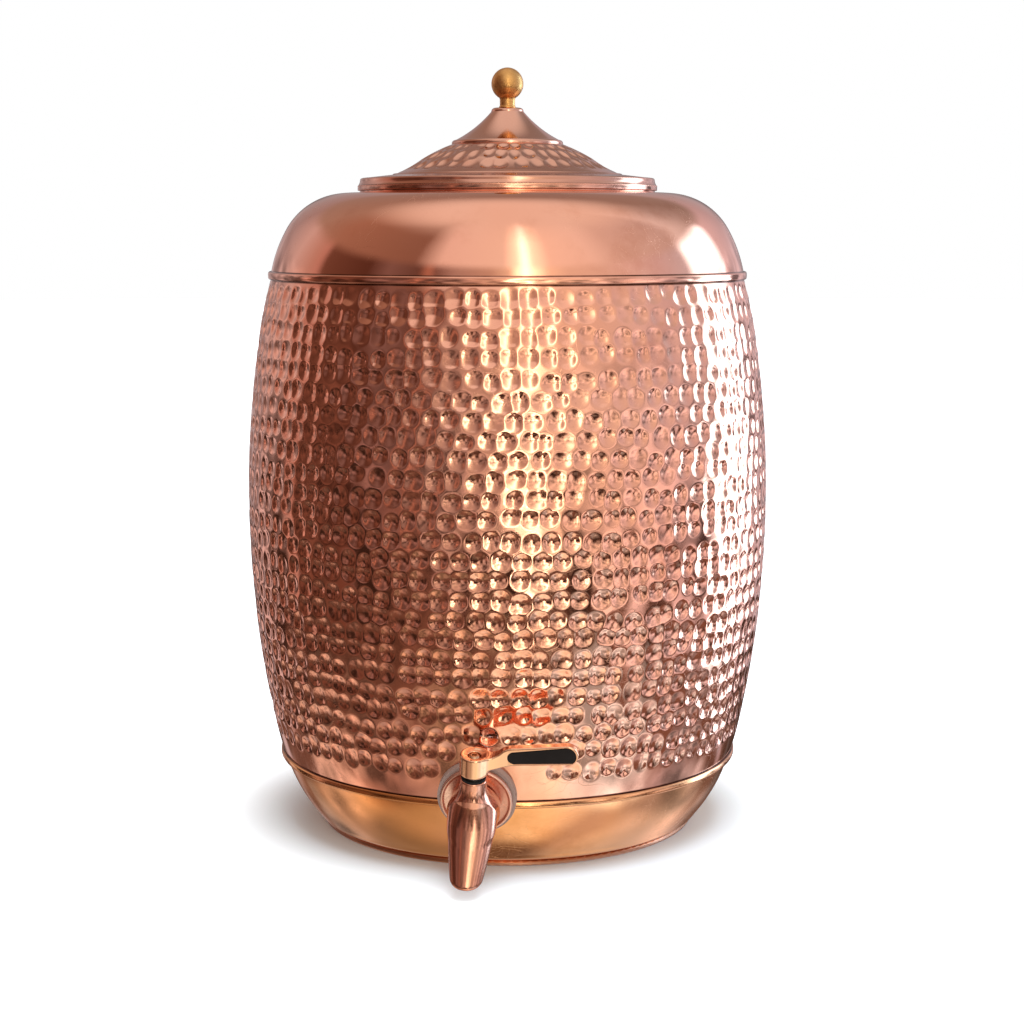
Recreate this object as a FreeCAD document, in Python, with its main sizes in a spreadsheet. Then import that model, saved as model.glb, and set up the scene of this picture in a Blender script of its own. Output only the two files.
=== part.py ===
import FreeCAD, Part

import math
import os

import Sketcher

# A 16-litre copper water dispenser: a barrel of hammered sheet copper, lock-seamed to a plain spun
# shoulder and a plain spun base, with a lift-off lid and a quarter-turn plug tap.
# Millimetres. +Z is up, the origin is the middle of the foot's resting plane, and the tap faces -Y.

DIMENSIONS = {
    # sheet copper
    "sheet": 0.9,
    # foot and base bowl
    "foot_inner_radius": 97.8,
    "foot_outer_radius": 101.6,
    "foot_height": 3.0,
    "foot_edge_round": 1.1,
    "base_flat_radius": 100.0,
    "base_corner_radius": 105.6,
    "base_corner_height": 6.4,
    "base_corner_round": 6.4,
    "base_wall_arc": 85.0,
    "base_top_radius": 121.9,
    # lower lock seam
    "lower_seam_bottom": 36.7,
    "lower_seam_top": 40.5,
    "lower_seam_radius": 124.6,
    # barrel
    "barrel_foot_radius": 123.4,
    "barrel_low_height": 66.0,
    "barrel_low_radius": 129.7,
    "barrel_low_arc": 190.0,
    "barrel_belly_arc": 575.0,
    "barrel_high_height": 272.0,
    "barrel_high_radius": 131.7,
    "barrel_high_arc": 200.0,
    "barrel_neck_radius": 126.2,
    # upper lock seam
    "upper_seam_bottom": 293.9,
    "upper_seam_top": 298.1,
    "upper_seam_radius": 127.6,
    # shoulder
    "shoulder_foot_radius": 125.8,
    "shoulder_side_arc": 74.0,
    "shoulder_turn_radius": 116.8,
    "shoulder_turn_height": 321.6,
    "shoulder_top_arc": 37.0,
    "shoulder_flat_radius": 88.0,
    "shoulder_flat_height": 339.0,
    # mouth with a wired edge
    "mouth_bead_radius": 77.5,
    "mouth_bead_height": 340.0,
    "mouth_bead_tube": 1.9,
    "mouth_wire_tube": 0.98,
    # lid
    "lid_rest_height": 342.0,
    "lid_rim_radius": 79.7,
    "lid_rim_top_radius": 77.2,
    "lid_rim_top_height": 346.4,
    "lid_rim_round": 1.6,
    "lid_step_radius": 60.2,
    "lid_step_height": 349.0,
    "lid_ring_radius": 57.6,
    "lid_ring_height": 350.1,
    "lid_cone_radius": 45.5,
    "lid_cone_height": 357.0,
    "lid_foot_arc": 62.0,
    "lid_cone_arc": 95.0,
    "lid_bead_radius": 28.2,
    "lid_bead_height": 365.9,
    "lid_bead_tube": 1.5,
    "spire_arc": 62.0,
    "spire_top_radius": 8.6,
    "spire_round": 2.0,
    "spire_top_height": 383.9,
    "skirt_radius": 74.6,
    "skirt_bottom_height": 327.0,
    # knob
    "knob_bolt_radius": 2.0,
    "knob_bolt_clearance": 0.1,
    "knob_collar_radius": 4.15,
    "knob_ball_radius": 8.5,
    "knob_ball_height": 396.4,
    "knob_seat_height": 389.0,
    "knob_bolt_top_height": 398.5,
    "knob_washer_radius": 5.5,
    "knob_washer_thick": 0.8,
    "knob_head_radius": 3.6,
    "knob_head_thick": 2.4,
    "knob_socket_radius": 1.45,
    "knob_socket_depth": 1.4,
    # tap as a whole: where its axis meets the wall, how far it leans and turns with the wall
    "tap_wall_radius": 123.0,
    "tap_height": 44.0,
    "tap_tilt": 17.0,
    "tap_roll": 4.4,
    # tap shell
    "shank_radius": 8.0,
    "shank_bore": 4.2,
    "shank_inside": 19.0,
    "wall_hole_radius": 8.4,
    "collar_radius": 10.6,
    "collar_out": 9.0,
    "tap_barrel_radius": 12.8,
    "tap_barrel_back": 8.8,
    "stem_out": 22.0,
    "neck_radius": 6.4,
    "neck_top": 23.5,
    "neck_bore": 5.45,
    "neck_bore_floor": -8.6,
    "neck_fillet": 2.2,
    "spout_wall": 1.8,
    "spout_end_out": 38.4,
    "spout_end_drop": 27.0,
    "spout_end_radius": 7.7,
    "spout_start_out": 19.6,
    "spout_start_radius": 12.7,
    "plug_outlet_radius": 3.3,
    # wall fittings
    "gasket_radius": 19.6,
    "flange_back": 4.2,
    "flange_thick": 3.0,
    "flange_radius": 18.0,
    "flange_rim": 1.6,
    "flange_recess": 0.8,
    "inner_gasket_radius": 13.5,
    "inner_gasket_back": 4.6,
    "nut_across_flats": 24.0,
    "nut_thick": 6.0,
    "thread_clearance": 0.05,
    # valve
    "sleeve_bore": 4.45,
    "sleeve_top": 9.6,
    "sleeve_port": 2.9,
    "plug_radius": 4.4,
    "plug_hollow": 3.0,
    "plug_hollow_top": 3.4,
    "plug_port": 2.7,
    "plug_bottom": -8.3,
    "plug_shoulder": 15.0,
    "groove_radius": 3.95,
    "groove_width": 1.7,
    "low_ring_height": 11.1,
    "high_ring_height": 13.6,
    "ring_tube": 0.72,
    "stop_lug_low": 8.5,
    "stop_lug_reach": 5.2,
    "stop_lug_width": 2.0,
    "stem_radius": 3.0,
    "stem_square": 4.2,
    "stem_top": 33.4,
    "washer_thick": 1.0,
    "gland_bore": 3.06,
    "gland_radius": 5.4,
    "gland_head_radius": 4.6,
    "dust_ring_radius": 6.0,
    "dust_ring_thick": 1.2,
    "gland_top": 26.1,
    # lever
    "hub_radius": 6.9,
    "hub_bottom": 26.5,
    "hub_top": 37.0,
    "hub_edge_round": 0.6,
    "socket_clearance": 0.1,
    "lever_thick": 4.2,
    "lever_root": 4.0,
    "lever_root_low": 28.0,
    "arm_low_out": 9.2,
    "arm_low_height": 30.8,
    "paddle_low_out": 17.5,
    "paddle_low_height": 33.2,
    "paddle_tip_low_out": 46.6,
    "paddle_tip_low_height": 37.0,
    "paddle_tip_high_out": 44.1,
    "paddle_tip_high_height": 47.1,
    "paddle_high_out": 20.4,
    "paddle_high_height": 43.3,
    "arm_high_out": 13.6,
    "arm_high_height": 41.2,
    "lever_root_high": 36.9,
    "tip_arc": 5.3,
    "arm_high_arc": 14.0,
    "root_high_arc": 12.0,
    "root_low_arc": 2.9,
    "inlay_low_out": 18.7,
    "inlay_low_height": 34.7,
    "inlay_tip_low_out": 46.8,
    "inlay_tip_low_height": 38.1,
    "inlay_tip_high_out": 43.1,
    "inlay_tip_high_height": 46.0,
    "inlay_high_out": 18.0,
    "inlay_high_height": 40.8,
    "inlay_tip_arc": 4.5,
    "inlay_root_arc": 3.2,
    "inlay_depth": 1.2,
    "inlay_gap": 0.1,
    "lever_screw_radius": 1.5,
    "lever_screw_head": 3.0,
    "lever_screw_head_low": 34.6,
    "lever_screw_head_high": 36.5,
    "lever_screw_end": 27.5,
    "lever_screw_recess": 3.3,
    "lever_screw_key": 1.35,
}

doc = FreeCAD.newDocument("water_dispenser")
subparts = {}


def fill_sheet():
    """Writes every driving dimension as a plain number in a cell with its own alias."""
    sheet = doc.addObject("Spreadsheet::Sheet", "Dimensions")
    for row, (alias, number) in enumerate(DIMENSIONS.items(), start=1):
        sheet.set(f"A{row}", alias)
        sheet.set(f"B{row}", str(number))
        sheet.setAlias(f"B{row}", alias)
    doc.recompute()
    return sheet


SHEET = fill_sheet()


class Size:
    """A size with its present value and the expression on the sheet's cells that gives it."""

    def __init__(self, value, text):
        self.value = float(value)
        self.text = text

    def __add__(self, other):
        other = size(other)
        return Size(self.value + other.value, f"({self.text} + {other.text})")

    def __sub__(self, other):
        other = size(other)
        return Size(self.value - other.value, f"({self.text} - {other.text})")

    def __mul__(self, other):
        other = size(other)
        return Size(self.value * other.value, f"({self.text} * {other.text})")

    def __neg__(self):
        return size(0) - self


def size(number_or_alias):
    """A Size from an alias of the sheet, from a plain number, or from a Size."""
    if isinstance(number_or_alias, Size):
        return number_or_alias
    if isinstance(number_or_alias, str):
        return Size(getattr(SHEET, number_or_alias), f"Dimensions.{number_or_alias}")
    return Size(number_or_alias, repr(float(number_or_alias)))


def bind(thing, prop, wanted):
    """Ties a property to its expression, so that the sheet drives it."""
    thing.setExpression(prop, size(wanted).text)


# ---------------------------------------------------------------- sketches

LINE = None


def arc(radius, turn):
    """A round stretch to the next point: turn is 1 counter-clockwise and -1 clockwise."""
    return (size(radius), turn)


def arc_centre(start, end, radius, turn):
    """The centre of the shorter arc of that radius from start to end."""
    chord = end - start
    half = chord.Length / 2
    height = math.sqrt(max(radius * radius - half * half, 0.0))
    left = FreeCAD.Vector(-chord.y, chord.x, 0).normalize()
    return (start + end) * 0.5 + left * (height * turn)


def angle_at(centre, point):
    return math.atan2(point.y - centre.y, point.x - centre.x)


def pin_point(sketch, geometry, end, across, up):
    """Fixes one point of a sketch at two sizes, or on an axis where a size is zero."""
    for kind, wanted, axis in (("DistanceX", across, -2), ("DistanceY", up, -1)):
        if abs(wanted.value) < 1e-9:
            sketch.addConstraint(Sketcher.Constraint("PointOnObject", geometry, end, axis))
            continue
        index = sketch.addConstraint(Sketcher.Constraint(kind, geometry, end, wanted.value))
        bind(sketch, f"Constraints[{index}]", wanted)


def draw_loop(sketch, loop):
    """Draws a closed loop. Each entry is (across, up) or (across, up, arc to the next point)."""
    corners = [(size(entry[0]), size(entry[1])) for entry in loop]
    places = [FreeCAD.Vector(across.value, up.value, 0) for across, up in corners]
    pieces = []
    for index, entry in enumerate(loop):
        start, end = places[index], places[(index + 1) % len(loop)]
        way = entry[2] if len(entry) > 2 else LINE
        if way is LINE:
            geometry = sketch.addGeometry(Part.LineSegment(start, end), False)
            pieces.append((geometry, 1, 2))
            continue
        radius, turn = way
        centre = arc_centre(start, end, radius.value, turn)
        first, last = (start, end) if turn > 0 else (end, start)
        circle = Part.Circle(centre, FreeCAD.Vector(0, 0, 1), radius.value)
        curve = Part.ArcOfCircle(circle, angle_at(centre, first), angle_at(centre, last))
        geometry = sketch.addGeometry(curve, False)
        pieces.append((geometry, 1, 2) if turn > 0 else (geometry, 2, 1))
    for index, (geometry, start_end, far_end) in enumerate(pieces):
        next_geometry, next_start, _ = pieces[(index + 1) % len(pieces)]
        join = Sketcher.Constraint("Coincident", geometry, far_end, next_geometry, next_start)
        sketch.addConstraint(join)
    for (geometry, start_end, _), (across, up) in zip(pieces, corners):
        pin_point(sketch, geometry, start_end, across, up)
    for (geometry, _, _), entry in zip(pieces, loop):
        if len(entry) > 2 and entry[2] is not LINE:
            index = sketch.addConstraint(Sketcher.Constraint("Radius", geometry, entry[2][0].value))
            bind(sketch, f"Constraints[{index}]", entry[2][0])


def draw_circle(sketch, across, up, radius):
    across, up, radius = size(across), size(up), size(radius)
    centre = FreeCAD.Vector(across.value, up.value, 0)
    circle = Part.Circle(centre, FreeCAD.Vector(0, 0, 1), radius.value)
    geometry = sketch.addGeometry(circle, False)
    pin_point(sketch, geometry, 3, across, up)
    index = sketch.addConstraint(Sketcher.Constraint("Radius", geometry, radius.value))
    bind(sketch, f"Constraints[{index}]", radius)


def new_body(name):
    return doc.addObject("PartDesign::Body", name)


def new_sketch(body, name, plane="XZ_Plane", offset=None):
    sketch = body.newObject("Sketcher::SketchObject", name)
    support = [feature for feature in body.Origin.OriginFeatures if feature.Role == plane][0]
    sketch.AttachmentSupport = [(support, "")]
    sketch.MapMode = "FlatFace"
    if offset is not None:
        bind(sketch, "AttachmentOffset.Base.z", offset)
    return sketch


def revolve(body, sketch, kind="PartDesign::Revolution"):
    """Turns a sketch once round the body's Z axis, to add material or to cut a groove."""
    feature = body.newObject(kind, sketch.Name + "_turned")
    feature.Profile = sketch
    feature.ReferenceAxis = (sketch, ["V_Axis"])
    feature.Angle = 360
    body.Tip = feature
    return feature


def turned_body(name, *loops):
    """A body made of loops that are each turned once round the Z axis."""
    body = new_body(name)
    for number, loop in enumerate(loops, start=1):
        sketch = new_sketch(body, f"{name}_section_{number}")
        draw_loop(sketch, loop)
        revolve(body, sketch)
    return body


def pad(body, sketch, length, both_ways=False):
    feature = body.newObject("PartDesign::Pad", sketch.Name + "_pad")
    feature.Profile = sketch
    bind(feature, "Length", length)
    feature.Midplane = both_ways
    body.Tip = feature
    return feature


# ---------------------------------------------------------------- Part objects


def cylinder(name, radius, height, base=(0, 0, 0), along="Z"):
    """A cylinder that starts at base and runs along +Y or +Z."""
    made = doc.addObject("Part::Cylinder", name)
    bind(made, "Radius", radius)
    bind(made, "Height", height)
    if along == "Y":
        made.Placement = FreeCAD.Placement(
            FreeCAD.Vector(0, 0, 0), FreeCAD.Rotation(FreeCAD.Vector(1, 0, 0), -90)
        )
    for letter, wanted in zip("xyz", base):
        bind(made, f"Placement.Base.{letter}", wanted)
    return made


def box(name, length, width, height, base):
    """A box centred across X and Y on base, standing on it."""
    made = doc.addObject("Part::Box", name)
    for prop, wanted in zip(("Length", "Width", "Height"), (length, width, height)):
        bind(made, prop, wanted)
    corner = (
        size(base[0]) - size(length) * 0.5,
        size(base[1]) - size(width) * 0.5,
        size(base[2]),
    )
    for letter, wanted in zip("xyz", corner):
        bind(made, f"Placement.Base.{letter}", wanted)
    return made


def ring(name, radius, tube, height):
    """A torus round Z."""
    made = doc.addObject("Part::Torus", name)
    bind(made, "Radius1", radius)
    bind(made, "Radius2", tube)
    bind(made, "Placement.Base.z", height)
    return made


def fuse(name, *shapes):
    made = doc.addObject("Part::MultiFuse", name)
    made.Shapes = list(shapes)
    made.Refine = True
    return made


def cut(name, base, *tools):
    """Takes one tool, or several fused ones, out of base."""
    made = doc.addObject("Part::Cut", name)
    made.Base = base
    made.Tool = tools[0] if len(tools) == 1 else fuse(name + "_tools", *tools)
    return made


def common(name, base, tool):
    made = doc.addObject("Part::Common", name)
    made.Base = base
    made.Tool = tool
    return made


def keep(name, made, placement=None):
    """Lists a finished object as a sub-part, under the label that names its file."""
    made.Label = name
    if placement is not None:
        made.Placement = placement
    subparts[name] = made
    return made


# ---------------------------------------------------------------- vessel

SHEET_METAL = size("sheet")


def foot_ring():
    """A flat copper band under the base. The dispenser stands on its lower face."""
    inner, outer = size("foot_inner_radius"), size("foot_outer_radius")
    high, soft = size("foot_height"), size("foot_edge_round")
    body = turned_body(
        "foot_ring_body",
        [
            (inner, 0),
            (outer - soft, 0, arc(soft, 1)),
            (outer, soft),
            (outer, high - soft, arc(soft, 1)),
            (outer - soft, high),
            (inner, high),
        ],
    )
    keep("foot_ring", body)


def lock_seam(side, wall_radius, seam_radius, bottom, top):
    """The sizes of a lock seam: a flange on the barrel that the other sheet folds round.

    side is 1 where the other sheet comes from above and -1 where it comes from below.
    """
    middle = (size(bottom) + size(top)) * 0.5
    flange_low = middle - SHEET_METAL * 0.5
    flange_high = middle + SHEET_METAL * 0.5
    flange_radius = size(seam_radius) - SHEET_METAL - 0.05
    return flange_low, flange_high, flange_radius


def base_bowl():
    """The spun base: a flat bottom, a curved wall and a fold that locks round the barrel's flange."""
    low, high, flange = lock_seam(
        -1, "barrel_foot_radius", "lower_seam_radius", "lower_seam_bottom", "lower_seam_top"
    )
    flat, floor = size("base_flat_radius"), size("foot_height")
    corner, corner_up = size("base_corner_radius"), size("base_corner_height")
    wall_top, seam_low, seam_high = (
        size("base_top_radius"),
        size("lower_seam_bottom"),
        size("lower_seam_top"),
    )
    seam, inside = size("lower_seam_radius"), size("barrel_foot_radius") + 0.05
    return turned_body(
        "base_bowl_body",
        [
            (0, floor),
            (flat, floor, arc("base_corner_round", 1)),
            (corner, corner_up, arc("base_wall_arc", 1)),
            (wall_top, seam_low),
            (seam - 0.7, seam_low),
            (seam, seam_low + 0.7),
            (seam, seam_high - 0.9, arc(0.9, 1)),
            (seam - 0.9, seam_high),
            (inside, seam_high),
            (inside, high + 0.02),
            (flange + 0.02, high + 0.02),
            (flange + 0.02, low - 0.02),
            (wall_top - SHEET_METAL, low - 0.02),
            (wall_top - SHEET_METAL, seam_low + SHEET_METAL, arc("base_wall_arc", -1)),
            (corner - SHEET_METAL, corner_up + SHEET_METAL, arc("base_corner_round", -1)),
            (flat - SHEET_METAL, floor + SHEET_METAL),
            (0, floor + SHEET_METAL),
        ],
    )


def barrel_shell():
    """The barrel: three tangent-looking stretches, belly and two ends, with a flange at each end."""
    low_under, low_over, low_flange = lock_seam(
        -1, "barrel_foot_radius", "lower_seam_radius", "lower_seam_bottom", "lower_seam_top"
    )
    top_under, top_over, top_flange = lock_seam(
        1, "barrel_neck_radius", "upper_seam_radius", "upper_seam_bottom", "upper_seam_top"
    )
    foot, neck = size("barrel_foot_radius"), size("barrel_neck_radius")
    low, high = size("barrel_low_radius"), size("barrel_high_radius")
    low_up, high_up = size("barrel_low_height"), size("barrel_high_height")
    return turned_body(
        "barrel_body",
        [
            (foot - SHEET_METAL, low_under),
            (low_flange, low_under),
            (low_flange, low_over),
            (foot, low_over),
            (foot, "lower_seam_top", arc("barrel_low_arc", 1)),
            (low, low_up, arc("barrel_belly_arc", 1)),
            (high, high_up, arc("barrel_high_arc", 1)),
            (neck, "upper_seam_bottom"),
            (neck, top_under),
            (top_flange, top_under),
            (top_flange, top_over),
            (neck - SHEET_METAL, top_over),
            (neck - SHEET_METAL, "upper_seam_bottom", arc("barrel_high_arc", -1)),
            (high - SHEET_METAL, high_up, arc("barrel_belly_arc", -1)),
            (low - SHEET_METAL, low_up, arc("barrel_low_arc", -1)),
            (foot - SHEET_METAL, "lower_seam_top"),
        ],
    )


def shoulder_shell():
    """The spun shoulder: it folds round the barrel's top flange and ends in a wired mouth."""
    low, high, flange = lock_seam(
        1, "barrel_neck_radius", "upper_seam_radius", "upper_seam_bottom", "upper_seam_top"
    )
    seam, seam_low, seam_high = (
        size("upper_seam_radius"),
        size("upper_seam_bottom"),
        size("upper_seam_top"),
    )
    foot = size("shoulder_foot_radius")
    turn, turn_up = size("shoulder_turn_radius"), size("shoulder_turn_height")
    flat, flat_up = size("shoulder_flat_radius"), size("shoulder_flat_height")
    bead, bead_up = size("mouth_bead_radius"), size("mouth_bead_height")
    inside = size("barrel_neck_radius") + 0.05
    body = turned_body(
        "shoulder_body",
        [
            (inside, seam_low),
            (seam - 0.9, seam_low, arc(0.9, 1)),
            (seam, seam_low + 0.9),
            (seam, seam_high - 0.6, arc(0.6, 1)),
            (seam - 0.6, seam_high),
            (foot, seam_high, arc("shoulder_side_arc", 1)),
            (turn, turn_up, arc("shoulder_top_arc", 1)),
            (flat, flat_up),
            (bead, flat_up),
            (bead, flat_up - SHEET_METAL),
            (flat - SHEET_METAL, flat_up - SHEET_METAL, arc("shoulder_top_arc", -1)),
            (turn - SHEET_METAL, turn_up - SHEET_METAL, arc("shoulder_side_arc", -1)),
            (foot - SHEET_METAL, seam_high - SHEET_METAL),
            (foot - SHEET_METAL, high + 0.02),
            (flange + 0.02, high + 0.02),
            (flange + 0.02, low - 0.02),
            (inside, low - 0.02),
        ],
    )
    roll = new_sketch(body, "mouth_bead_section")
    draw_circle(roll, bead, bead_up, "mouth_bead_tube")
    draw_circle(roll, bead, bead_up, size("mouth_wire_tube") + 0.02)
    revolve(body, roll)
    keep("shoulder_shell", body)


def mouth_wire():
    """The wire that the mouth's edge is rolled round."""
    keep("mouth_wire", ring("mouth_wire_ring", "mouth_bead_radius", "mouth_wire_tube", "mouth_bead_height"))


# ---------------------------------------------------------------- lid


def lid_shell():
    """The spun lid: rim, flat, hammered cone, bead and spire, with a hole for the knob's screw."""
    sheet = SHEET_METAL
    rim, rest = size("lid_rim_radius"), size("lid_rest_height")
    top, top_up, turn = size("lid_rim_top_radius"), size("lid_rim_top_height"), size("lid_rim_round")
    step, step_up = size("lid_step_radius"), size("lid_step_height")
    ring_r, ring_up = size("lid_ring_radius"), size("lid_ring_height")
    cone, cone_up = size("lid_cone_radius"), size("lid_cone_height")
    bead, bead_up, tube = size("lid_bead_radius"), size("lid_bead_height"), size("lid_bead_tube")
    spire, spire_up, soft = size("spire_top_radius"), size("spire_top_height"), size("spire_round")
    hole = size("knob_bolt_radius") + size("knob_bolt_clearance")
    body = turned_body(
        "lid_body",
        [
            (rim - sheet, rest + sheet),
            (rim, rest + sheet),
            (top, top_up, arc(turn, 1)),
            (top - turn, top_up + turn * 0.7),
            (step, step_up),
            (ring_r, ring_up, arc("lid_foot_arc", -1)),
            (cone, cone_up, arc("lid_cone_arc", 1)),
            (bead, bead_up, arc("spire_arc", -1)),
            (spire, spire_up - soft, arc(soft, 1)),
            (spire - soft, spire_up),
            (hole, spire_up),
            (hole, spire_up - sheet),
            (spire - soft, spire_up - sheet, arc(soft * 0.8, -1)),
            (spire - sheet, spire_up - soft - sheet * 0.5, arc("spire_arc", 1)),
            (bead - sheet * 0.6, bead_up - sheet, arc("lid_cone_arc", -1)),
            (cone - sheet * 0.5, cone_up - sheet, arc("lid_foot_arc", 1)),
            (ring_r - sheet * 0.5, ring_up - sheet),
            (step - sheet * 0.5, step_up - sheet),
            (top - turn - sheet * 0.3, top_up + turn * 0.7 - sheet),
            (top - sheet, top_up - sheet * 0.5),
        ],
    )
    swage = new_sketch(body, "lid_bead_section")
    draw_loop(
        swage,
        [
            (bead - tube * 0.5, bead_up - sheet * 0.6),
            (bead + tube, bead_up - tube, arc(tube * 1.2, 1)),
            (bead - tube * 0.3, bead_up + tube * 0.75),
        ],
    )
    revolve(body, swage)
    keep("lid_shell", body)


def lid_skirt():
    """The collar under the lid: a flat rim that rests on the mouth and a wall that drops inside it."""
    sheet = SHEET_METAL
    rest, wall, low = size("lid_rest_height"), size("skirt_radius"), size("skirt_bottom_height")
    outer = size("lid_rim_radius")
    body = turned_body(
        "lid_skirt_body",
        [
            (wall - sheet, low),
            (wall, low),
            (wall, rest),
            (outer - sheet * 0.5, rest, arc(sheet * 0.5, 1)),
            (outer, rest + sheet * 0.5),
            (outer, rest + sheet),
            (wall - sheet, rest + sheet),
        ],
    )
    keep("lid_skirt", body)


def knob():
    """A brass ball on a brass collar, held from inside the lid by a screw and a washer."""
    bolt, gap = size("knob_bolt_radius"), size("knob_bolt_clearance")
    hole = bolt + gap
    ball, ball_up = size("knob_ball_radius"), size("knob_ball_height")
    seat, land = size("knob_seat_height"), size("spire_top_height")
    sphere = doc.addObject("Part::Sphere", "knob_sphere")
    bind(sphere, "Radius", ball)
    bind(sphere, "Placement.Base.z", ball_up)
    under = cylinder("knob_flat", ball, ball, (0, 0, seat - ball))
    tapped = cylinder("knob_tapped_hole", bolt + 0.05, size("knob_bolt_top_height") - seat + 1.5, (0, 0, seat - 1))
    keep("knob_ball", cut("knob_ball_cut", sphere, under, tapped))

    radius = size("knob_collar_radius")
    collar = turned_body(
        "knob_collar_body",
        [
            (hole, land),
            (radius + 0.3, land),
            (radius + 0.3, land + 0.5, arc(6.0, -1)),
            (radius, land + 1.7),
            (radius, seat),
            (hole, seat),
        ],
    )
    keep("knob_collar", collar)

    inner_land = land - SHEET_METAL
    thick = size("knob_washer_thick")
    washer_low = inner_land - thick
    washer = turned_body(
        "knob_washer_body",
        [
            (hole, washer_low),
            ("knob_washer_radius", washer_low),
            ("knob_washer_radius", inner_land),
            (hole, inner_land),
        ],
    )
    keep("knob_washer", washer)

    head_low = washer_low - size("knob_head_thick")
    head = size("knob_head_radius")
    screw = turned_body(
        "knob_screw_body",
        [
            (0, head_low),
            (head - 1.0, head_low, arc(1.2, 1)),
            (head, head_low + 1.1),
            (head, washer_low),
            (bolt, washer_low),
            (bolt, size("knob_bolt_top_height") - 0.5),
            (bolt - 0.5, "knob_bolt_top_height"),
            (0, "knob_bolt_top_height"),
        ],
    )
    socket = cylinder("knob_screw_socket", "knob_socket_radius", size("knob_socket_depth") + 1, (0, 0, head_low - 1))
    keep("knob_screw", cut("knob_screw_cut", screw, socket))


# ---------------------------------------------------------------- tap
# Drawn in a frame of its own: +Z up the valve stem, -Y out of the wall, the origin where the tap's
# axis meets the wall. TAP then turns it with the wall and puts it on the vessel.


def tap_placement():
    tilt = FreeCAD.Rotation(FreeCAD.Vector(1, 0, 0), size("tap_tilt").value)
    roll = FreeCAD.Rotation(FreeCAD.Vector(0, 1, 0), size("tap_roll").value)
    foot = FreeCAD.Vector(0, -size("tap_wall_radius").value, size("tap_height").value)
    return FreeCAD.Placement(foot, tilt.multiply(roll))


TAP = tap_placement()
STEM = (0, -size("stem_out"))


def through_wall(name, radius, out, inward):
    """A cylinder on the tap's axis from out in front of the wall to inward behind it."""
    rod = cylinder(name, radius, size(out) + size(inward), (0, -size(out), 0), along="Y")
    doc.recompute()
    rod.clearExpressions() if hasattr(rod, "clearExpressions") else None
    for letter in "xyz":
        rod.setExpression(f"Placement.Base.{letter}", None)
    rod.Placement = TAP.multiply(rod.Placement)
    return rod


def wall_shells():
    """The barrel and the bowl, each with the tap's hole, which crosses their lock seam."""
    barrel, bowl = barrel_shell(), base_bowl()
    keep("barrel_shell", cut("barrel_cut", barrel, through_wall("barrel_hole", "wall_hole_radius", 12, 12)))
    keep("base_bowl", cut("bowl_cut", bowl, through_wall("bowl_hole", "wall_hole_radius", 12, 12)))


def wall_envelope(name, gap):
    """The vessel's outside round the tap, as one solid, for shaping the outer gasket."""
    seam = size("lower_seam_radius") + gap
    low, high = size("lower_seam_bottom") - gap, size("lower_seam_top") + gap
    foot, side = size("barrel_foot_radius") + gap, size("barrel_low_radius") + gap
    corner = size("base_corner_radius") + gap
    return turned_body(
        name,
        [
            (0, "base_corner_height"),
            (corner, "base_corner_height", arc("base_wall_arc", 1)),
            (size("base_top_radius") + gap, low),
            (seam, low),
            (seam, high),
            (foot, high, arc("barrel_low_arc", 1)),
            (side, "barrel_low_height", arc("barrel_belly_arc", 1)),
            (size("barrel_high_radius") + gap, "barrel_high_height"),
            (0, "barrel_high_height"),
        ],
    )


def wall_inside(name, gap):
    """The vessel's inside round the tap, as one solid, for shaping the inner gasket."""
    inset = SHEET_METAL + gap
    joint = (size("lower_seam_bottom") + size("lower_seam_top")) * 0.5
    bowl_wall = size("base_top_radius") - inset
    return turned_body(
        name,
        [
            (0, size("base_corner_height") + inset),
            (size("base_corner_radius") - inset, size("base_corner_height") + inset, arc("base_wall_arc", 1)),
            (bowl_wall, size("lower_seam_bottom") + inset),
            (bowl_wall, joint),
            (size("barrel_foot_radius") - inset, joint),
            (size("barrel_foot_radius") - inset, "lower_seam_top", arc("barrel_low_arc", 1)),
            (size("barrel_low_radius") - inset, "barrel_low_height", arc("barrel_belly_arc", 1)),
            (size("barrel_high_radius") - inset, "barrel_high_height"),
            (0, "barrel_high_height"),
        ],
    )


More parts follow.
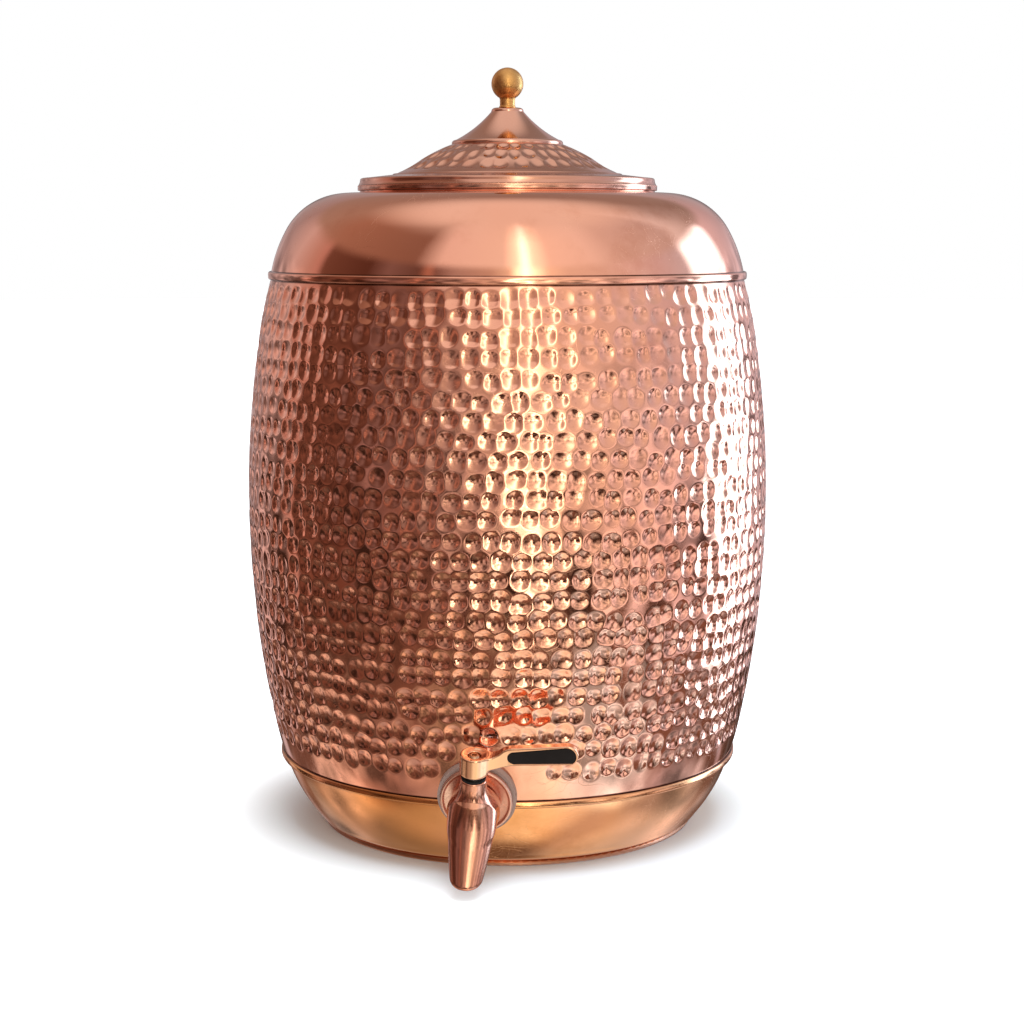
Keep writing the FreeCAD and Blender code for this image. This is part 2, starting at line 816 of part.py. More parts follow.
def wall_fittings():
    """What clamps the tap to the wall: dished flange, outer gasket, inner gasket and lock nut."""
    back, thick = size("flange_back"), size("flange_thick")
    front = back + thick
    hole = size("shank_radius") + size("thread_clearance")

    puck = through_wall("outer_gasket_puck", "gasket_radius", back - 0.02, 12)
    bore = through_wall("outer_gasket_bore", hole, 12, 14)
    shaped = cut("outer_gasket_shaped", puck, wall_envelope("outer_gasket_wall", 0.03))
    keep("outer_gasket", cut("outer_gasket_cut", shaped, bore))

    disc = cylinder("flange_disc", "flange_radius", thick, (0, -front, 0), along="Y")
    dish = cylinder(
        "flange_dish",
        size("flange_radius") - size("flange_rim"),
        size("flange_recess") + 1,
        (0, -front - 1, 0),
        along="Y",
    )
    flange_bore = cylinder("flange_bore", hole, thick + 2, (0, -front - 1, 0), along="Y")
    keep("tap_flange", cut("flange_cut", disc, dish, flange_bore), TAP)

    inner_back = size("inner_gasket_back")
    inner_puck = through_wall("inner_gasket_puck", "inner_gasket_radius", 8, inner_back)
    inner_bore = through_wall("inner_gasket_bore", hole, 12, 14)
    inner_shaped = common("inner_gasket_shaped", inner_puck, wall_inside("inner_gasket_wall", 0.03))
    keep("inner_gasket", cut("inner_gasket_cut", inner_shaped, inner_bore))

    nut_face = inner_back + 0.02
    corner = size("nut_across_flats") * (1 / math.sqrt(3))
    hexagon = doc.addObject("Part::Prism", "nut_hexagon")
    hexagon.Polygon = 6
    bind(hexagon, "Circumradius", corner)
    bind(hexagon, "Height", "nut_thick")
    hexagon.Placement = FreeCAD.Placement(
        FreeCAD.Vector(0, 0, 0), FreeCAD.Rotation(FreeCAD.Vector(1, 0, 0), -90)
    )
    bind(hexagon, "Placement.Base.y", nut_face)
    rounding = doc.addObject("Part::Cone", "nut_rounding")
    bind(rounding, "Radius1", corner + 2.6)
    bind(rounding, "Radius2", corner - 0.9)
    bind(rounding, "Height", "nut_thick")
    rounding.Placement = hexagon.Placement
    bind(rounding, "Placement.Base.y", nut_face)
    nut_bore = cylinder("nut_bore", hole, size("nut_thick") + 2, (0, nut_face - 1, 0), along="Y")
    keep("tap_lock_nut", cut("nut_cut", common("nut_rounded", hexagon, rounding), nut_bore), TAP)


def section_circle(name, radius, out, up):
    """A level circle that a loft passes through."""
    made = doc.addObject("Part::Circle", name)
    bind(made, "Radius", radius)
    bind(made, "Placement.Base.y", -size(out))
    bind(made, "Placement.Base.z", up)
    return made


def spout_loft(name, wall, start_share, end_share, sections=4):
    """The tapered spout, or with a wall its bore, lofted through level circles that step outward."""
    start_out, end_out = size("spout_start_out"), size("spout_end_out")
    start_r, end_r = size("spout_start_radius"), size("spout_end_radius")
    circles = []
    for number in range(sections):
        share = start_share + (end_share - start_share) * number / (sections - 1)
        out = start_out + (end_out - start_out) * share
        radius = start_r + (end_r - start_r) * share**0.75 - wall
        circles.append(section_circle(f"{name}_{number}", radius, out, -size("spout_end_drop") * share))
    loft = doc.addObject("Part::Loft", name)
    loft.Sections = circles
    loft.Solid = True
    loft.Ruled = False
    return loft


def tap_body():
    """The cast tap: threaded shank, collar, barrel, neck for the valve and tapered spout."""
    shank_in = size("shank_inside")
    front = size("flange_back") + size("flange_thick") + 0.02
    stem = size("stem_out")
    shank = cylinder("tap_shank", "shank_radius", shank_in + "collar_out", (0, -size("collar_out"), 0), along="Y")
    collar_out = size("tap_barrel_back") + 1
    collar = cylinder("tap_collar", "collar_radius", collar_out - front, (0, -collar_out, 0), along="Y")
    barrel_back, barrel_out = size("tap_barrel_back"), size("spout_start_out")
    barrel = cylinder(
        "tap_barrel", "tap_barrel_radius", barrel_out - barrel_back, (0, -barrel_out, 0), along="Y"
    )
    crown = doc.addObject("Part::Sphere", "tap_crown")
    bind(crown, "Radius", size("tap_barrel_radius") - 0.05)
    bind(crown, "Placement.Base.y", -barrel_out)
    neck = cylinder("tap_neck", "neck_radius", "neck_top", (*STEM, 0))
    whole = fuse("tap_outside", shank, collar, barrel, crown, neck, spout_loft("tap_spout", 0, 0.0, 1.0))

    water_in = cylinder("tap_inlet", "shank_bore", shank_in + stem + 1, (0, -stem, 0), along="Y")
    floor = size("neck_bore_floor")
    chamber = cylinder("tap_chamber", "neck_bore", size("neck_top") - floor + 1, (*STEM, floor))
    drain = cylinder("tap_drain", "plug_outlet_radius", 5, (*STEM, floor - 4))
    bore = spout_loft("tap_spout_bore", size("spout_wall"), 0.47, 1.01, sections=3)
    blend = doc.addObject("Part::Sphere", "tap_drain_bend")
    bind(blend, "Radius", 4.6)
    bind(blend, "Placement.Base.y", -(stem + 1.6))
    bind(blend, "Placement.Base.z", floor - 4.2)
    keep("tap_body", cut("tap_body_cut", whole, water_in, chamber, drain, blend, bore), TAP)


def valve_sleeve():
    """The PTFE liner that the plug turns in: a port to the shank, and a notch that stops the plug."""
    floor, top = size("neck_bore_floor") + 0.02, size("sleeve_top")
    tube = cylinder("sleeve_tube", size("neck_bore") - 0.03, top - floor, (*STEM, floor))
    bore = cylinder("sleeve_bore_hole", "sleeve_bore", top - floor + 2, (*STEM, floor - 1))
    port = cylinder("sleeve_port_hole", "sleeve_port", 8, (0, -size("stem_out"), 0), along="Y")
    notch = cylinder("sleeve_notch", size("neck_bore") + 1, 3, (*STEM, size("stop_lug_low") - 0.1))
    notch.Angle = 90 + 2 * STOP_HALF_ANGLE
    notch.Placement = FreeCAD.Placement(
        notch.Placement.Base, FreeCAD.Rotation(FreeCAD.Vector(0, 0, 1), -90 - STOP_HALF_ANGLE)
    )
    bind(notch, "Placement.Base.y", -size("stem_out"))
    bind(notch, "Placement.Base.z", size("stop_lug_low") - 0.1)
    keep("valve_sleeve", cut("sleeve_cut", tube, bore, port, notch), TAP)


STOP_HALF_ANGLE = 14  # degrees: half the stop lug as the stem sees it, with a little room


def valve_stem():
    """The plug and its stem: hollow below, a side port, two ring grooves, a stop lug and a square end.

    At rest the tap is shut: the port looks along -X, a quarter turn away from the shank.
    """
    plug, low, high = size("plug_radius"), size("plug_bottom"), size("plug_shoulder")
    groove, half = size("groove_radius"), size("groove_width") * 0.5
    rings = [size("low_ring_height"), size("high_ring_height")]
    stem, round_top = size("stem_radius"), size("hub_bottom") - 0.2
    steps = [(0, low), (plug, low)]
    for up in rings:
        steps += [(plug, up - half), (groove, up - half), (groove, up + half), (plug, up + half)]
    steps += [(plug, high), (stem, high), (stem, round_top), (0, round_top)]
    turned = turned_body("stem_turned", steps)
    turned.Placement = FreeCAD.Placement(
        FreeCAD.Vector(0, -size("stem_out").value, 0), FreeCAD.Rotation()
    )
    side = size("stem_square")
    square_low = round_top - 0.5
    square = box("stem_square_end", side, side, size("stem_top") - square_low, (*STEM, square_low))
    reach = size("stop_lug_reach")
    lug = box(
        "stem_stop_lug",
        reach,
        "stop_lug_width",
        size("sleeve_top") - size("stop_lug_low") - 0.1,
        (reach * 0.5, -size("stem_out"), size("stop_lug_low")),
    )
    whole = fuse("stem_solid", turned, square, lug)
    hollow = cylinder("plug_hollow_hole", "plug_hollow", size("plug_hollow_top") - low + 1, (*STEM, low - 1))
    port = doc.addObject("Part::Cylinder", "plug_port_hole")
    bind(port, "Radius", "plug_port")
    port.Height = 8
    port.Placement = FreeCAD.Placement(
        FreeCAD.Vector(0, -size("stem_out").value, 0), FreeCAD.Rotation(FreeCAD.Vector(0, 1, 0), -90)
    )
    end = size("lever_screw_end") - 0.5
    tapped = cylinder("stem_tapped_hole", size("lever_screw_radius") + 0.05, size("stem_top") - end + 1, (*STEM, end))
    keep("valve_stem", cut("stem_cut", whole, hollow, port, tapped), TAP)


def stem_o_rings():
    """Two rubber rings in the stem's grooves, one node with two solids."""
    made = []
    for number, up in enumerate(("low_ring_height", "high_ring_height"), start=1):
        rubber = ring(f"stem_ring_{number}", size("groove_radius") + size("ring_tube") + 0.01, "ring_tube", up)
        bind(rubber, "Placement.Base.y", -size("stem_out"))
        made.append(rubber)
    both = doc.addObject("Part::Compound", "stem_rings")
    both.Links = made
    keep("stem_o_rings", both, TAP)


def gland():
    """A PTFE thrust washer on the plug's shoulder, and the gland nut that screws down on it."""
    shoulder, thick = size("plug_shoulder"), size("washer_thick")
    bore, outer = size("gland_bore"), size("gland_radius")
    offset = FreeCAD.Placement(FreeCAD.Vector(0, -size("stem_out").value, 0), FreeCAD.Rotation())
    washer = turned_body(
        "thrust_washer_body",
        [
            (bore, shoulder + 0.05),
            (outer - 0.1, shoulder + 0.05),
            (outer - 0.1, shoulder + thick),
            (bore, shoulder + thick),
        ],
    )
    keep("thrust_washer", washer, TAP.multiply(offset))
    neck_top, head, top = size("neck_top"), size("gland_head_radius"), size("gland_top")
    nut = turned_body(
        "gland_nut_body",
        [
            (bore, shoulder + thick + 0.02),
            (outer, shoulder + thick + 0.02),
            (outer, neck_top - 0.6),
            (head, neck_top),
            (head, top - 0.5),
            (head - 0.5, top),
            (bore, top),
        ],
    )
    keep("gland_nut", nut, TAP.multiply(offset))
    ring_low, ring_thick, ring_out = neck_top + 0.02, size("dust_ring_thick"), size("dust_ring_radius")
    dust = turned_body(
        "dust_ring_body",
        [
            (head + 0.03, ring_low),
            (ring_out, ring_low),
            (ring_out, ring_low + ring_thick * 0.6, arc(ring_thick * 0.8, 1)),
            (ring_out - ring_thick * 0.5, ring_low + ring_thick),
            (head + 0.03, ring_low + ring_thick),
        ],
    )
    keep("dust_ring", dust, TAP.multiply(offset))


# ---------------------------------------------------------------- lever


def lever():
    """The lever: a round hub on the stem and a flat arm that rises to a paddle with an inlay."""
    hub_low, hub_high, hub_r = size("hub_bottom"), size("hub_top"), size("hub_radius")
    soft = size("hub_edge_round")
    hub = turned_body(
        "hub_body",
        [
            (0, hub_low),
            (hub_r - soft, hub_low, arc(soft, 1)),
            (hub_r, hub_low + soft),
            (hub_r, hub_high - soft, arc(soft, 1)),
            (hub_r - soft, hub_high),
            (0, hub_high),
        ],
    )
    blade = new_body("blade_body")
    sketch = new_sketch(blade, "blade_outline")
    root = size("lever_root")
    draw_loop(
        sketch,
        [
            (root, "lever_root_low"),
            (hub_r - 0.4, "lever_root_low", arc("root_low_arc", -1)),
            ("arm_low_out", "arm_low_height"),
            ("paddle_low_out", "paddle_low_height"),
            ("paddle_tip_low_out", "paddle_tip_low_height", arc("tip_arc", 1)),
            ("paddle_tip_high_out", "paddle_tip_high_height"),
            ("paddle_high_out", "paddle_high_height", arc("arm_high_arc", 1)),
            ("arm_high_out", "arm_high_height", arc("root_high_arc", -1)),
            (hub_r - 0.8, "lever_root_high"),
            (root, "lever_root_high"),
        ],
    )
    pad(blade, sketch, "lever_thick", both_ways=True)
    for body in (hub, blade):
        body.Placement = FreeCAD.Placement(
            FreeCAD.Vector(0, -size("stem_out").value, 0), FreeCAD.Rotation()
        )
    whole = fuse("lever_solid", hub, blade)
    side = size("stem_square") + size("socket_clearance") * 2
    socket = box("lever_socket", side, side, size("stem_top") - hub_low + 1.3, (*STEM, hub_low - 1))
    clearance = cylinder(
        "lever_screw_hole", size("lever_screw_radius") + 0.2, hub_high - hub_low, (*STEM, hub_low + 1)
    )
    recess = cylinder(
        "lever_screw_recess_hole",
        "lever_screw_recess",
        hub_high - size("lever_screw_head_low") + 1.05,
        (*STEM, size("lever_screw_head_low") - 0.05),
    )
    pocket = inlay_solid("inlay_pocket", 0.0, 1.0)
    keep("lever", cut("lever_cut", whole, socket, clearance, recess, pocket), TAP)
    inlay = inlay_solid("inlay_pad", "inlay_gap", 0.0)
    keep("lever_inlay", inlay, TAP.multiply(inlay.Placement))


def inlay_solid(name, gap, proud):
    """A tapered, round-ended pad on the paddle's outer face, smaller by gap and standing proud."""
    gap = size(gap)
    body = new_body(name)
    sketch = new_sketch(body, name + "_outline")
    draw_loop(
        sketch,
        [
            ("inlay_low_out", size("inlay_low_height") + gap),
            ("inlay_tip_low_out", size("inlay_tip_low_height") + gap, arc(size("inlay_tip_arc") - gap, 1)),
            ("inlay_tip_high_out", size("inlay_tip_high_height") - gap),
            ("inlay_high_out", size("inlay_high_height") - gap, arc(size("inlay_root_arc") - gap, 1)),
        ],
    )
    depth = size("inlay_depth") - gap * 0.5
    pad(body, sketch, depth + proud)
    out = size("stem_out") + size("lever_thick") * 0.5 - depth
    body.Placement = FreeCAD.Placement(FreeCAD.Vector(0, -out.value, 0), FreeCAD.Rotation())
    return body


def lever_screw():
    """The button-head screw that holds the lever down on the stem's square."""
    head, low, high = size("lever_screw_head"), size("lever_screw_head_low"), size("lever_screw_head_high")
    thread, end = size("lever_screw_radius"), size("lever_screw_end")
    body = turned_body(
        "lever_screw_body",
        [
            (0, end),
            (thread - 0.4, end),
            (thread, end + 0.4),
            (thread, low),
            (head, low),
            (head, low + 0.5, arc(4.2, 1)),
            (1.7, high),
            (0, high),
        ],
    )
    body.Placement = FreeCAD.Placement(FreeCAD.Vector(0, -size("stem_out").value, 0), FreeCAD.Rotation())
    key = doc.addObject("Part::Prism", "lever_screw_key_hole")
    key.Polygon = 6
    bind(key, "Circumradius", "lever_screw_key")
    key.Height = 3
    bind(key, "Placement.Base.y", -size("stem_out"))
    bind(key, "Placement.Base.z", high - 1.2)
    keep("lever_screw", cut("lever_screw_cut", body, key), TAP)


def build():
    foot_ring()
    wall_shells()
    shoulder_shell()
    mouth_wire()
    lid_shell()
    lid_skirt()
    knob()
    wall_fittings()
    tap_body()
    valve_sleeve()
    valve_stem()
    stem_o_rings()
    gland()
    lever()
    lever_screw()
    doc.recompute()


def check_objects():
    """Stops with the names of every object that failed or has no valid shape."""
    failed = [made.Name for made in doc.Objects if {"Invalid", "Error"} & set(made.State)]
    bad = [
        name
        for name, made in subparts.items()
        if made.Shape.isNull() or not made.Shape.isValid() or made.Shape.Volume <= 0
    ]
    if failed or bad:
        raise RuntimeError(f"failed objects: {failed}; bad shapes: {bad}")


def export():
    os.makedirs("parts", exist_ok=True)
    for old in os.listdir("parts"):
        if old.endswith(".step"):
            os.remove(os.path.join("parts", old))
    for name, made in subparts.items():
        made.Shape.exportStep(f"parts/{name}.step")
        print(f"{name}: {len(made.Shape.Solids)} solid, {made.Shape.Volume:.1f} mm3")


build()
check_objects()
export()
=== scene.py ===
import itertools
import math

import bpy
import numpy as np
from mathutils import Matrix, Vector


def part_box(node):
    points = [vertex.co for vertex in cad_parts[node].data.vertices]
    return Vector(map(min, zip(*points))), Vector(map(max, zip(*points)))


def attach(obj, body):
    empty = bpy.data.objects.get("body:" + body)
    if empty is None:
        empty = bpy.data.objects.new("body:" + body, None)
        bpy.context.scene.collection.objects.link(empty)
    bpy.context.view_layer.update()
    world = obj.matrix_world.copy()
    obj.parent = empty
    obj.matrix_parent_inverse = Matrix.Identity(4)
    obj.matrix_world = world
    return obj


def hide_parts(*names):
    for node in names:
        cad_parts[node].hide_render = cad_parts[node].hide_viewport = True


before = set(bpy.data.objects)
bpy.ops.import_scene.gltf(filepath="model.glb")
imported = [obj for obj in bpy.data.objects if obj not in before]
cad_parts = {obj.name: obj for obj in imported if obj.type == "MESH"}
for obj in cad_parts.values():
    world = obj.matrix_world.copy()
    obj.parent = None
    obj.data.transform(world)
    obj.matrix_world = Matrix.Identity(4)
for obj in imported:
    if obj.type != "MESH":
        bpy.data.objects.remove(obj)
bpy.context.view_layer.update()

# A hammered copper water dispenser. Lengths are written in millimetres and turned into metres when a
# mesh is made. +Z is up, the vessel's axis is Z, and the tap faces -Y.
MM = 0.001
SHEET = 0.9
chance = np.random.default_rng(16)


def corners_mm(node):
    """Lowest and highest corner of a CAD node, in millimetres."""
    low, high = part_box(node)
    return np.array(low) / MM, np.array(high) / MM


bowl_low, bowl_high = corners_mm("base_bowl")
shoulder_low, shoulder_high = corners_mm("shoulder_shell")
ball_low, ball_high = corners_mm("knob_ball")
neck_low, neck_high = corners_mm("knob_collar")
lid_high = corners_mm("lid_shell")[1]
skirt_high = corners_mm("lid_skirt")[1]

# The lock seams between barrel and bowl and between barrel and shoulder, and what the lid rests on.
LOWER_SEAM_HEIGHT, UPPER_SEAM_HEIGHT = 3.8, 4.2
LOWER_SEAM_TOP, LOWER_SEAM_RADIUS = bowl_high[2], bowl_high[0]
LOWER_SEAM_LOW = LOWER_SEAM_TOP - LOWER_SEAM_HEIGHT
UPPER_SEAM_LOW, UPPER_SEAM_RADIUS = shoulder_low[2], shoulder_high[0]
UPPER_SEAM_TOP = UPPER_SEAM_LOW + UPPER_SEAM_HEIGHT
LID_REST = skirt_high[2] - SHEET

# Outside radius of the barrel's wall where it enters each seam, and the play round its flange.
BARREL_FOOT, BARREL_NECK = 123.4, 126.2
FLANGE_PLAY = 0.02


# -------------------- outlines


def arc(radius, turn):
    """A round stretch to the next corner: turn is 1 counter-clockwise and -1 clockwise."""
    return radius, turn


def outline(corners, step=1.0, most_turn=0.12):
    """Points along a run of corners, each (across, up) or (across, up, arc to the next corner).

    Points are about step apart, and neighbours on an arc turn by no more than most_turn radians.
    """
    points = []
    for here, after in zip(corners[:-1], corners[1:]):
        start, end = np.array(here[:2], float), np.array(after[:2], float)
        chord = end - start
        length = np.hypot(*chord)
        if len(here) < 3:
            count = max(1, int(round(length / step)))
            points += [start + chord * k / count for k in range(count)]
            continue
        radius, turn = here[2]
        left = np.array([-chord[1], chord[0]]) / length
        centre = (start + end) / 2 + left * turn * math.sqrt(max(radius**2 - length**2 / 4, 0.0))
        first = math.atan2(*(start - centre)[::-1])
        sweep = turn * 2 * math.asin(min(1.0, length / 2 / radius))
        count = max(2, math.ceil(abs(sweep) * radius / step), math.ceil(abs(sweep) / most_turn))
        angles = first + sweep * np.arange(count) / count
        points += [centre + radius * np.array([math.cos(a), math.sin(a)]) for a in angles]
    points.append(np.array(corners[-1][:2], float))
    return np.array(points)


def soften(points, size, closed=True, turn_limit=0.3, most_of_side=0.45):
    """Rounds corners that turn by over turn_limit radians, cutting at most size from each side."""
    count = len(points)
    out = []
    for k, here in enumerate(points):
        if not closed and k in (0, count - 1):
            out.append(here)
            continue
        before, after = points[k - 1], points[(k + 1) % count]
        back, ahead = before - here, after - here
        back_length, ahead_length = np.hypot(*back), np.hypot(*ahead)
        turn = math.pi - math.acos(np.clip(back @ ahead / (back_length * ahead_length), -1, 1))
        if turn < turn_limit:
            out.append(here)
            continue
        start = here + back / back_length * min(size, back_length * most_of_side)
        end = here + ahead / ahead_length * min(size, ahead_length * most_of_side)
        for t in np.linspace(0, 1, 5):
            out.append(start * (1 - t) ** 2 + here * 2 * t * (1 - t) + end * t**2)
    return np.array(out)


def distance_along(points):
    """How far along an outline each of its points lies."""
    return np.concatenate([[0], np.cumsum(np.hypot(*np.diff(points, axis=0).T))])


def path_normals(points, closed):
    """Unit normals that point to the right of the way the path runs."""
    if closed:
        along = np.roll(points, -1, 0) - np.roll(points, 1, 0)
    else:
        along = np.gradient(points, axis=0)
    along /= np.maximum(np.hypot(along[:, 0], along[:, 1]), 1e-9)[:, None]
    return np.stack([along[:, 1], -along[:, 0]], 1)


# -------------------- meshes


SHARP_ANGLE = math.radians(50)


def add(name, data):
    """A new object in the scene."""
    thing = bpy.data.objects.new(name, data)
    bpy.context.scene.collection.objects.link(thing)
    return thing


def new_piece(name, points, faces, body, node, material, normals=None):
    """A mesh from points in millimetres, riding on a body and standing for a CAD node."""
    mesh = bpy.data.meshes.new(name)
    mesh.from_pydata((np.asarray(points) * MM).tolist(), [], faces)
    mesh.validate()
    mesh.shade_smooth()
    if normals is None:
        mesh.set_sharp_from_angle(angle=SHARP_ANGLE)
    else:
        mesh.normals_split_custom_set_from_vertices(normals.tolist())
    mesh.materials.append(material)
    piece = add(name, mesh)
    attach(piece, body)
    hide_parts(node)
    return piece


def turned_mesh(path, segments, closed=True, dents=None):
    """Points and faces of a path of (radius, height) turned round Z.

    The path keeps the solid on its left. dents says how far each point is pushed in. An open path
    starts and ends beside the axis, where it is closed with a fan of triangles.
    """
    path = np.asarray(path, float)
    angle = np.arange(segments) * 2 * math.pi / segments
    around, up = np.repeat(path[:, :1], segments, 1), np.repeat(path[:, 1:], segments, 1)
    if dents is not None:
        normal = path_normals(path, closed)
        inward = np.where((normal @ np.array([1.0, 1.0]))[:, None] > 0, -normal, normal)
        around = around + inward[:, :1] * dents
        up = up + inward[:, 1:] * dents
    points = np.stack([around * np.cos(angle), around * np.sin(angle), up], 2).reshape(-1, 3)
    rows = len(path)
    first = np.arange(rows if closed else rows - 1)[:, None]
    second = (first + 1) % rows
    here = np.arange(segments)[None, :]
    after = (here + 1) % segments
    near, far = first * segments, second * segments
    faces = np.stack([near + here, near + after, far + after, far + here], 2).reshape(-1, 4).tolist()
    if not closed:
        bottom, top = len(points), len(points) + 1
        points = np.vstack([points, [0, 0, path[0, 1]], [0, 0, path[-1, 1]]])
        last = (rows - 1) * segments
        for k in range(segments):
            following = (k + 1) % segments
            faces.append([bottom, following, k])
            faces.append([top, last + k, last + following])
    return points, faces


DENT_LEAN = 0.16
DENT_FULLNESS = 1.08


def stamp(depths, along, radius, marks):
    """Presses round or oval marks into a map of depths, whose rows lie at along and columns round Z.

    Each mark is (place along, angle, half length, half width, depth) and leans a little at random.
    """
    columns = depths.shape[1]
    step = 2 * math.pi / columns
    for place, angle, half_length, half_width, depth in marks:
        lean = chance.normal(0, DENT_LEAN, 2)
        rows = np.where(np.abs(along - place) < half_length)[0]
        if not len(rows):
            continue
        reach = int(half_width / (radius[rows].min() * step)) + 2
        middle = int(round(angle / step))
        offsets = np.arange(middle - reach, middle + reach + 1)
        across = (offsets * step - angle)[None, :] * radius[rows][:, None]
        ahead = along[rows][:, None] - place
        share = (ahead / half_length) ** 2 + (across / half_width) ** 2
        tilt = 1 + lean[0] * across / half_width + lean[1] * ahead / half_length
        press = depth * tilt * np.clip(1 - share, 0, None) ** DENT_FULLNESS
        window = np.ix_(rows, offsets % columns)
        depths[window] = np.maximum(depths[window], press)


def waves(along, angle, length, count=14):
    """A smooth random unevenness about 0, closed round Z, as beaten sheet has."""
    total = np.zeros((len(along), len(angle)))
    for _ in range(count):
        turns = chance.integers(2, 24)
        pitch = chance.uniform(0.5, 1.6) * length
        phases = chance.uniform(0, 2 * math.pi, 2)
        rise = np.cos(along[:, None] * 2 * math.pi / pitch + phases[0])
        total += rise * np.cos(turns * angle + phases[1])[None, :]
    return total / math.sqrt(count)


# -------------------- materials


class Nodes:
    """Adds nodes to one tree. A value is a number, a colour or the output of another node."""

    def __init__(self, tree, coordinates):
        self.tree = tree
        self.place = self.new("TexCoord").outputs[coordinates]

    def new(self, kind, values=(), **settings):
        """A node with its settings and with values for its inputs, by number or by name."""
        node = self.tree.nodes.new("ShaderNode" + kind)
        for name, setting in settings.items():
            setattr(node, name, setting)
        for key, value in values.items() if isinstance(values, dict) else enumerate(values):
            self.feed(node.inputs[key], value)
        return node

    def feed(self, socket, value):
        if isinstance(value, bpy.types.NodeSocket):
            self.tree.links.new(value, socket)
        else:
            socket.default_value = (*value, 1) if socket.type == "RGBA" else value

    def math(self, operation, *values, clamp=False):
        return self.new("Math", values, operation=operation, use_clamp=clamp).outputs[0]

    def noise(self, scale, detail=4.0, roughness=0.55, place=None, distortion=0.0):
        values = {"Vector": self.place if place is None else place, "Scale": scale, "Detail": detail}
        values.update({"Roughness": roughness, "Distortion": distortion})
        return self.new("TexNoise", values).outputs["Fac"]

    def spread(self, value, low, high, to_low=0.0, to_high=1.0, kind="SMOOTHSTEP"):
        """Maps a range onto another and clamps it."""
        return self.new("MapRange", (value, low, high, to_low, to_high), interpolation_type=kind).outputs[0]

    def scale(self, colour, times):
        return self.new("VectorMath", {0: colour, "Scale": times}, operation="SCALE").outputs[0]

    def mix(self, share, first, second):
        """Mixes two colours."""
        return self.new("Mix", {0: share, 6: first, 7: second}, data_type="RGBA").outputs[2]


class Look(Nodes):
    """One procedural material: a Principled shader and the nodes that feed it."""

    def __init__(self, name, colour, metallic=1.0, roughness=0.3, shine=0.5):
        self.material = bpy.data.materials.new(name)
        self.material.use_nodes = True
        super().__init__(self.material.node_tree, "Object")
        self.shader = self.tree.nodes["Principled BSDF"]
        self.give("Base Color", colour)
        self.give("Metallic", metallic)
        self.give("Roughness", roughness)
        self.give("Specular IOR Level", shine)
        self.bumps = None

    def give(self, socket, value):
        self.feed(self.shader.inputs[socket], value)

    def split(self):
        """Radius from the Z axis, angle round it and height, in metres and radians."""
        x, y, z = self.new("SeparateXYZ", (self.place,)).outputs
        square = self.math("ADD", self.math("MULTIPLY", x, x), self.math("MULTIPLY", y, y))
        return self.math("SQRT", square), self.math("ARCTAN2", y, x), z

    def bump(self, height, distance, strength):
        """Adds a layer of fine relief; distance is its depth in metres."""
        values = {"Strength": strength, "Distance": distance, "Height": height}
        if self.bumps is not None:
            values["Normal"] = self.bumps
        self.bumps = self.new("Bump", values).outputs["Normal"]
        self.give("Normal", self.bumps)


COPPER = (0.90, 0.43, 0.295)
COPPER_PALE = (0.95, 0.54, 0.41)
COPPER_BROWN = (0.62, 0.22, 0.12)
LID_COPPER = (0.66, 0.33, 0.235)
GOLD_COPPER, GOLD_BROWN = (0.93, 0.41, 0.135), (0.66, 0.24, 0.07)
# Dark brown, used both for real dirt in the hammer marks and for painted shade in the creases at the seams
# and under the lid's rim.
GRIME_AND_SHADE = (0.10, 0.035, 0.018)

# Scales of the noises, in cells per metre: shades of the metal, its patina, its grain, dirt in the
# marks, spun rings and the two sets of scratches with their places.
CLOUD_SCALE, PATCH_SCALE, GRAIN_SCALE, SPECKLE_SCALE = 9, 26, 900, 420
RING_SCALE, RING_TURNS = 1600, 1.5
SCRATCH_LINES = ((38, 0.0035), (61, 0.0025))
SCRATCH_PLACES = 17
# Depths of the relief, in metres.
GRAIN_DEPTH, SCRATCH_DEPTH = 0.00001, 0.00002


def band(look, height, centre, half):
    """1 in a level band of that half width round a height, fading to 0 outside it."""
    distance = look.math("ABSOLUTE", look.math("SUBTRACT", height, centre * MM))
    return look.spread(distance, half * MM * 0.35, half * MM, 1.0, 0.0)


def scratches(look, scale, sharp):
    """Thin curved lines, where a twisted noise is close to its middle value."""
    wander = look.noise(scale, 1.0, 0.4, distortion=1.6)
    distance = look.math("ABSOLUTE", look.math("SUBTRACT", wander, 0.5))
    return look.spread(distance, 0.0, sharp, 1.0, 0.0)


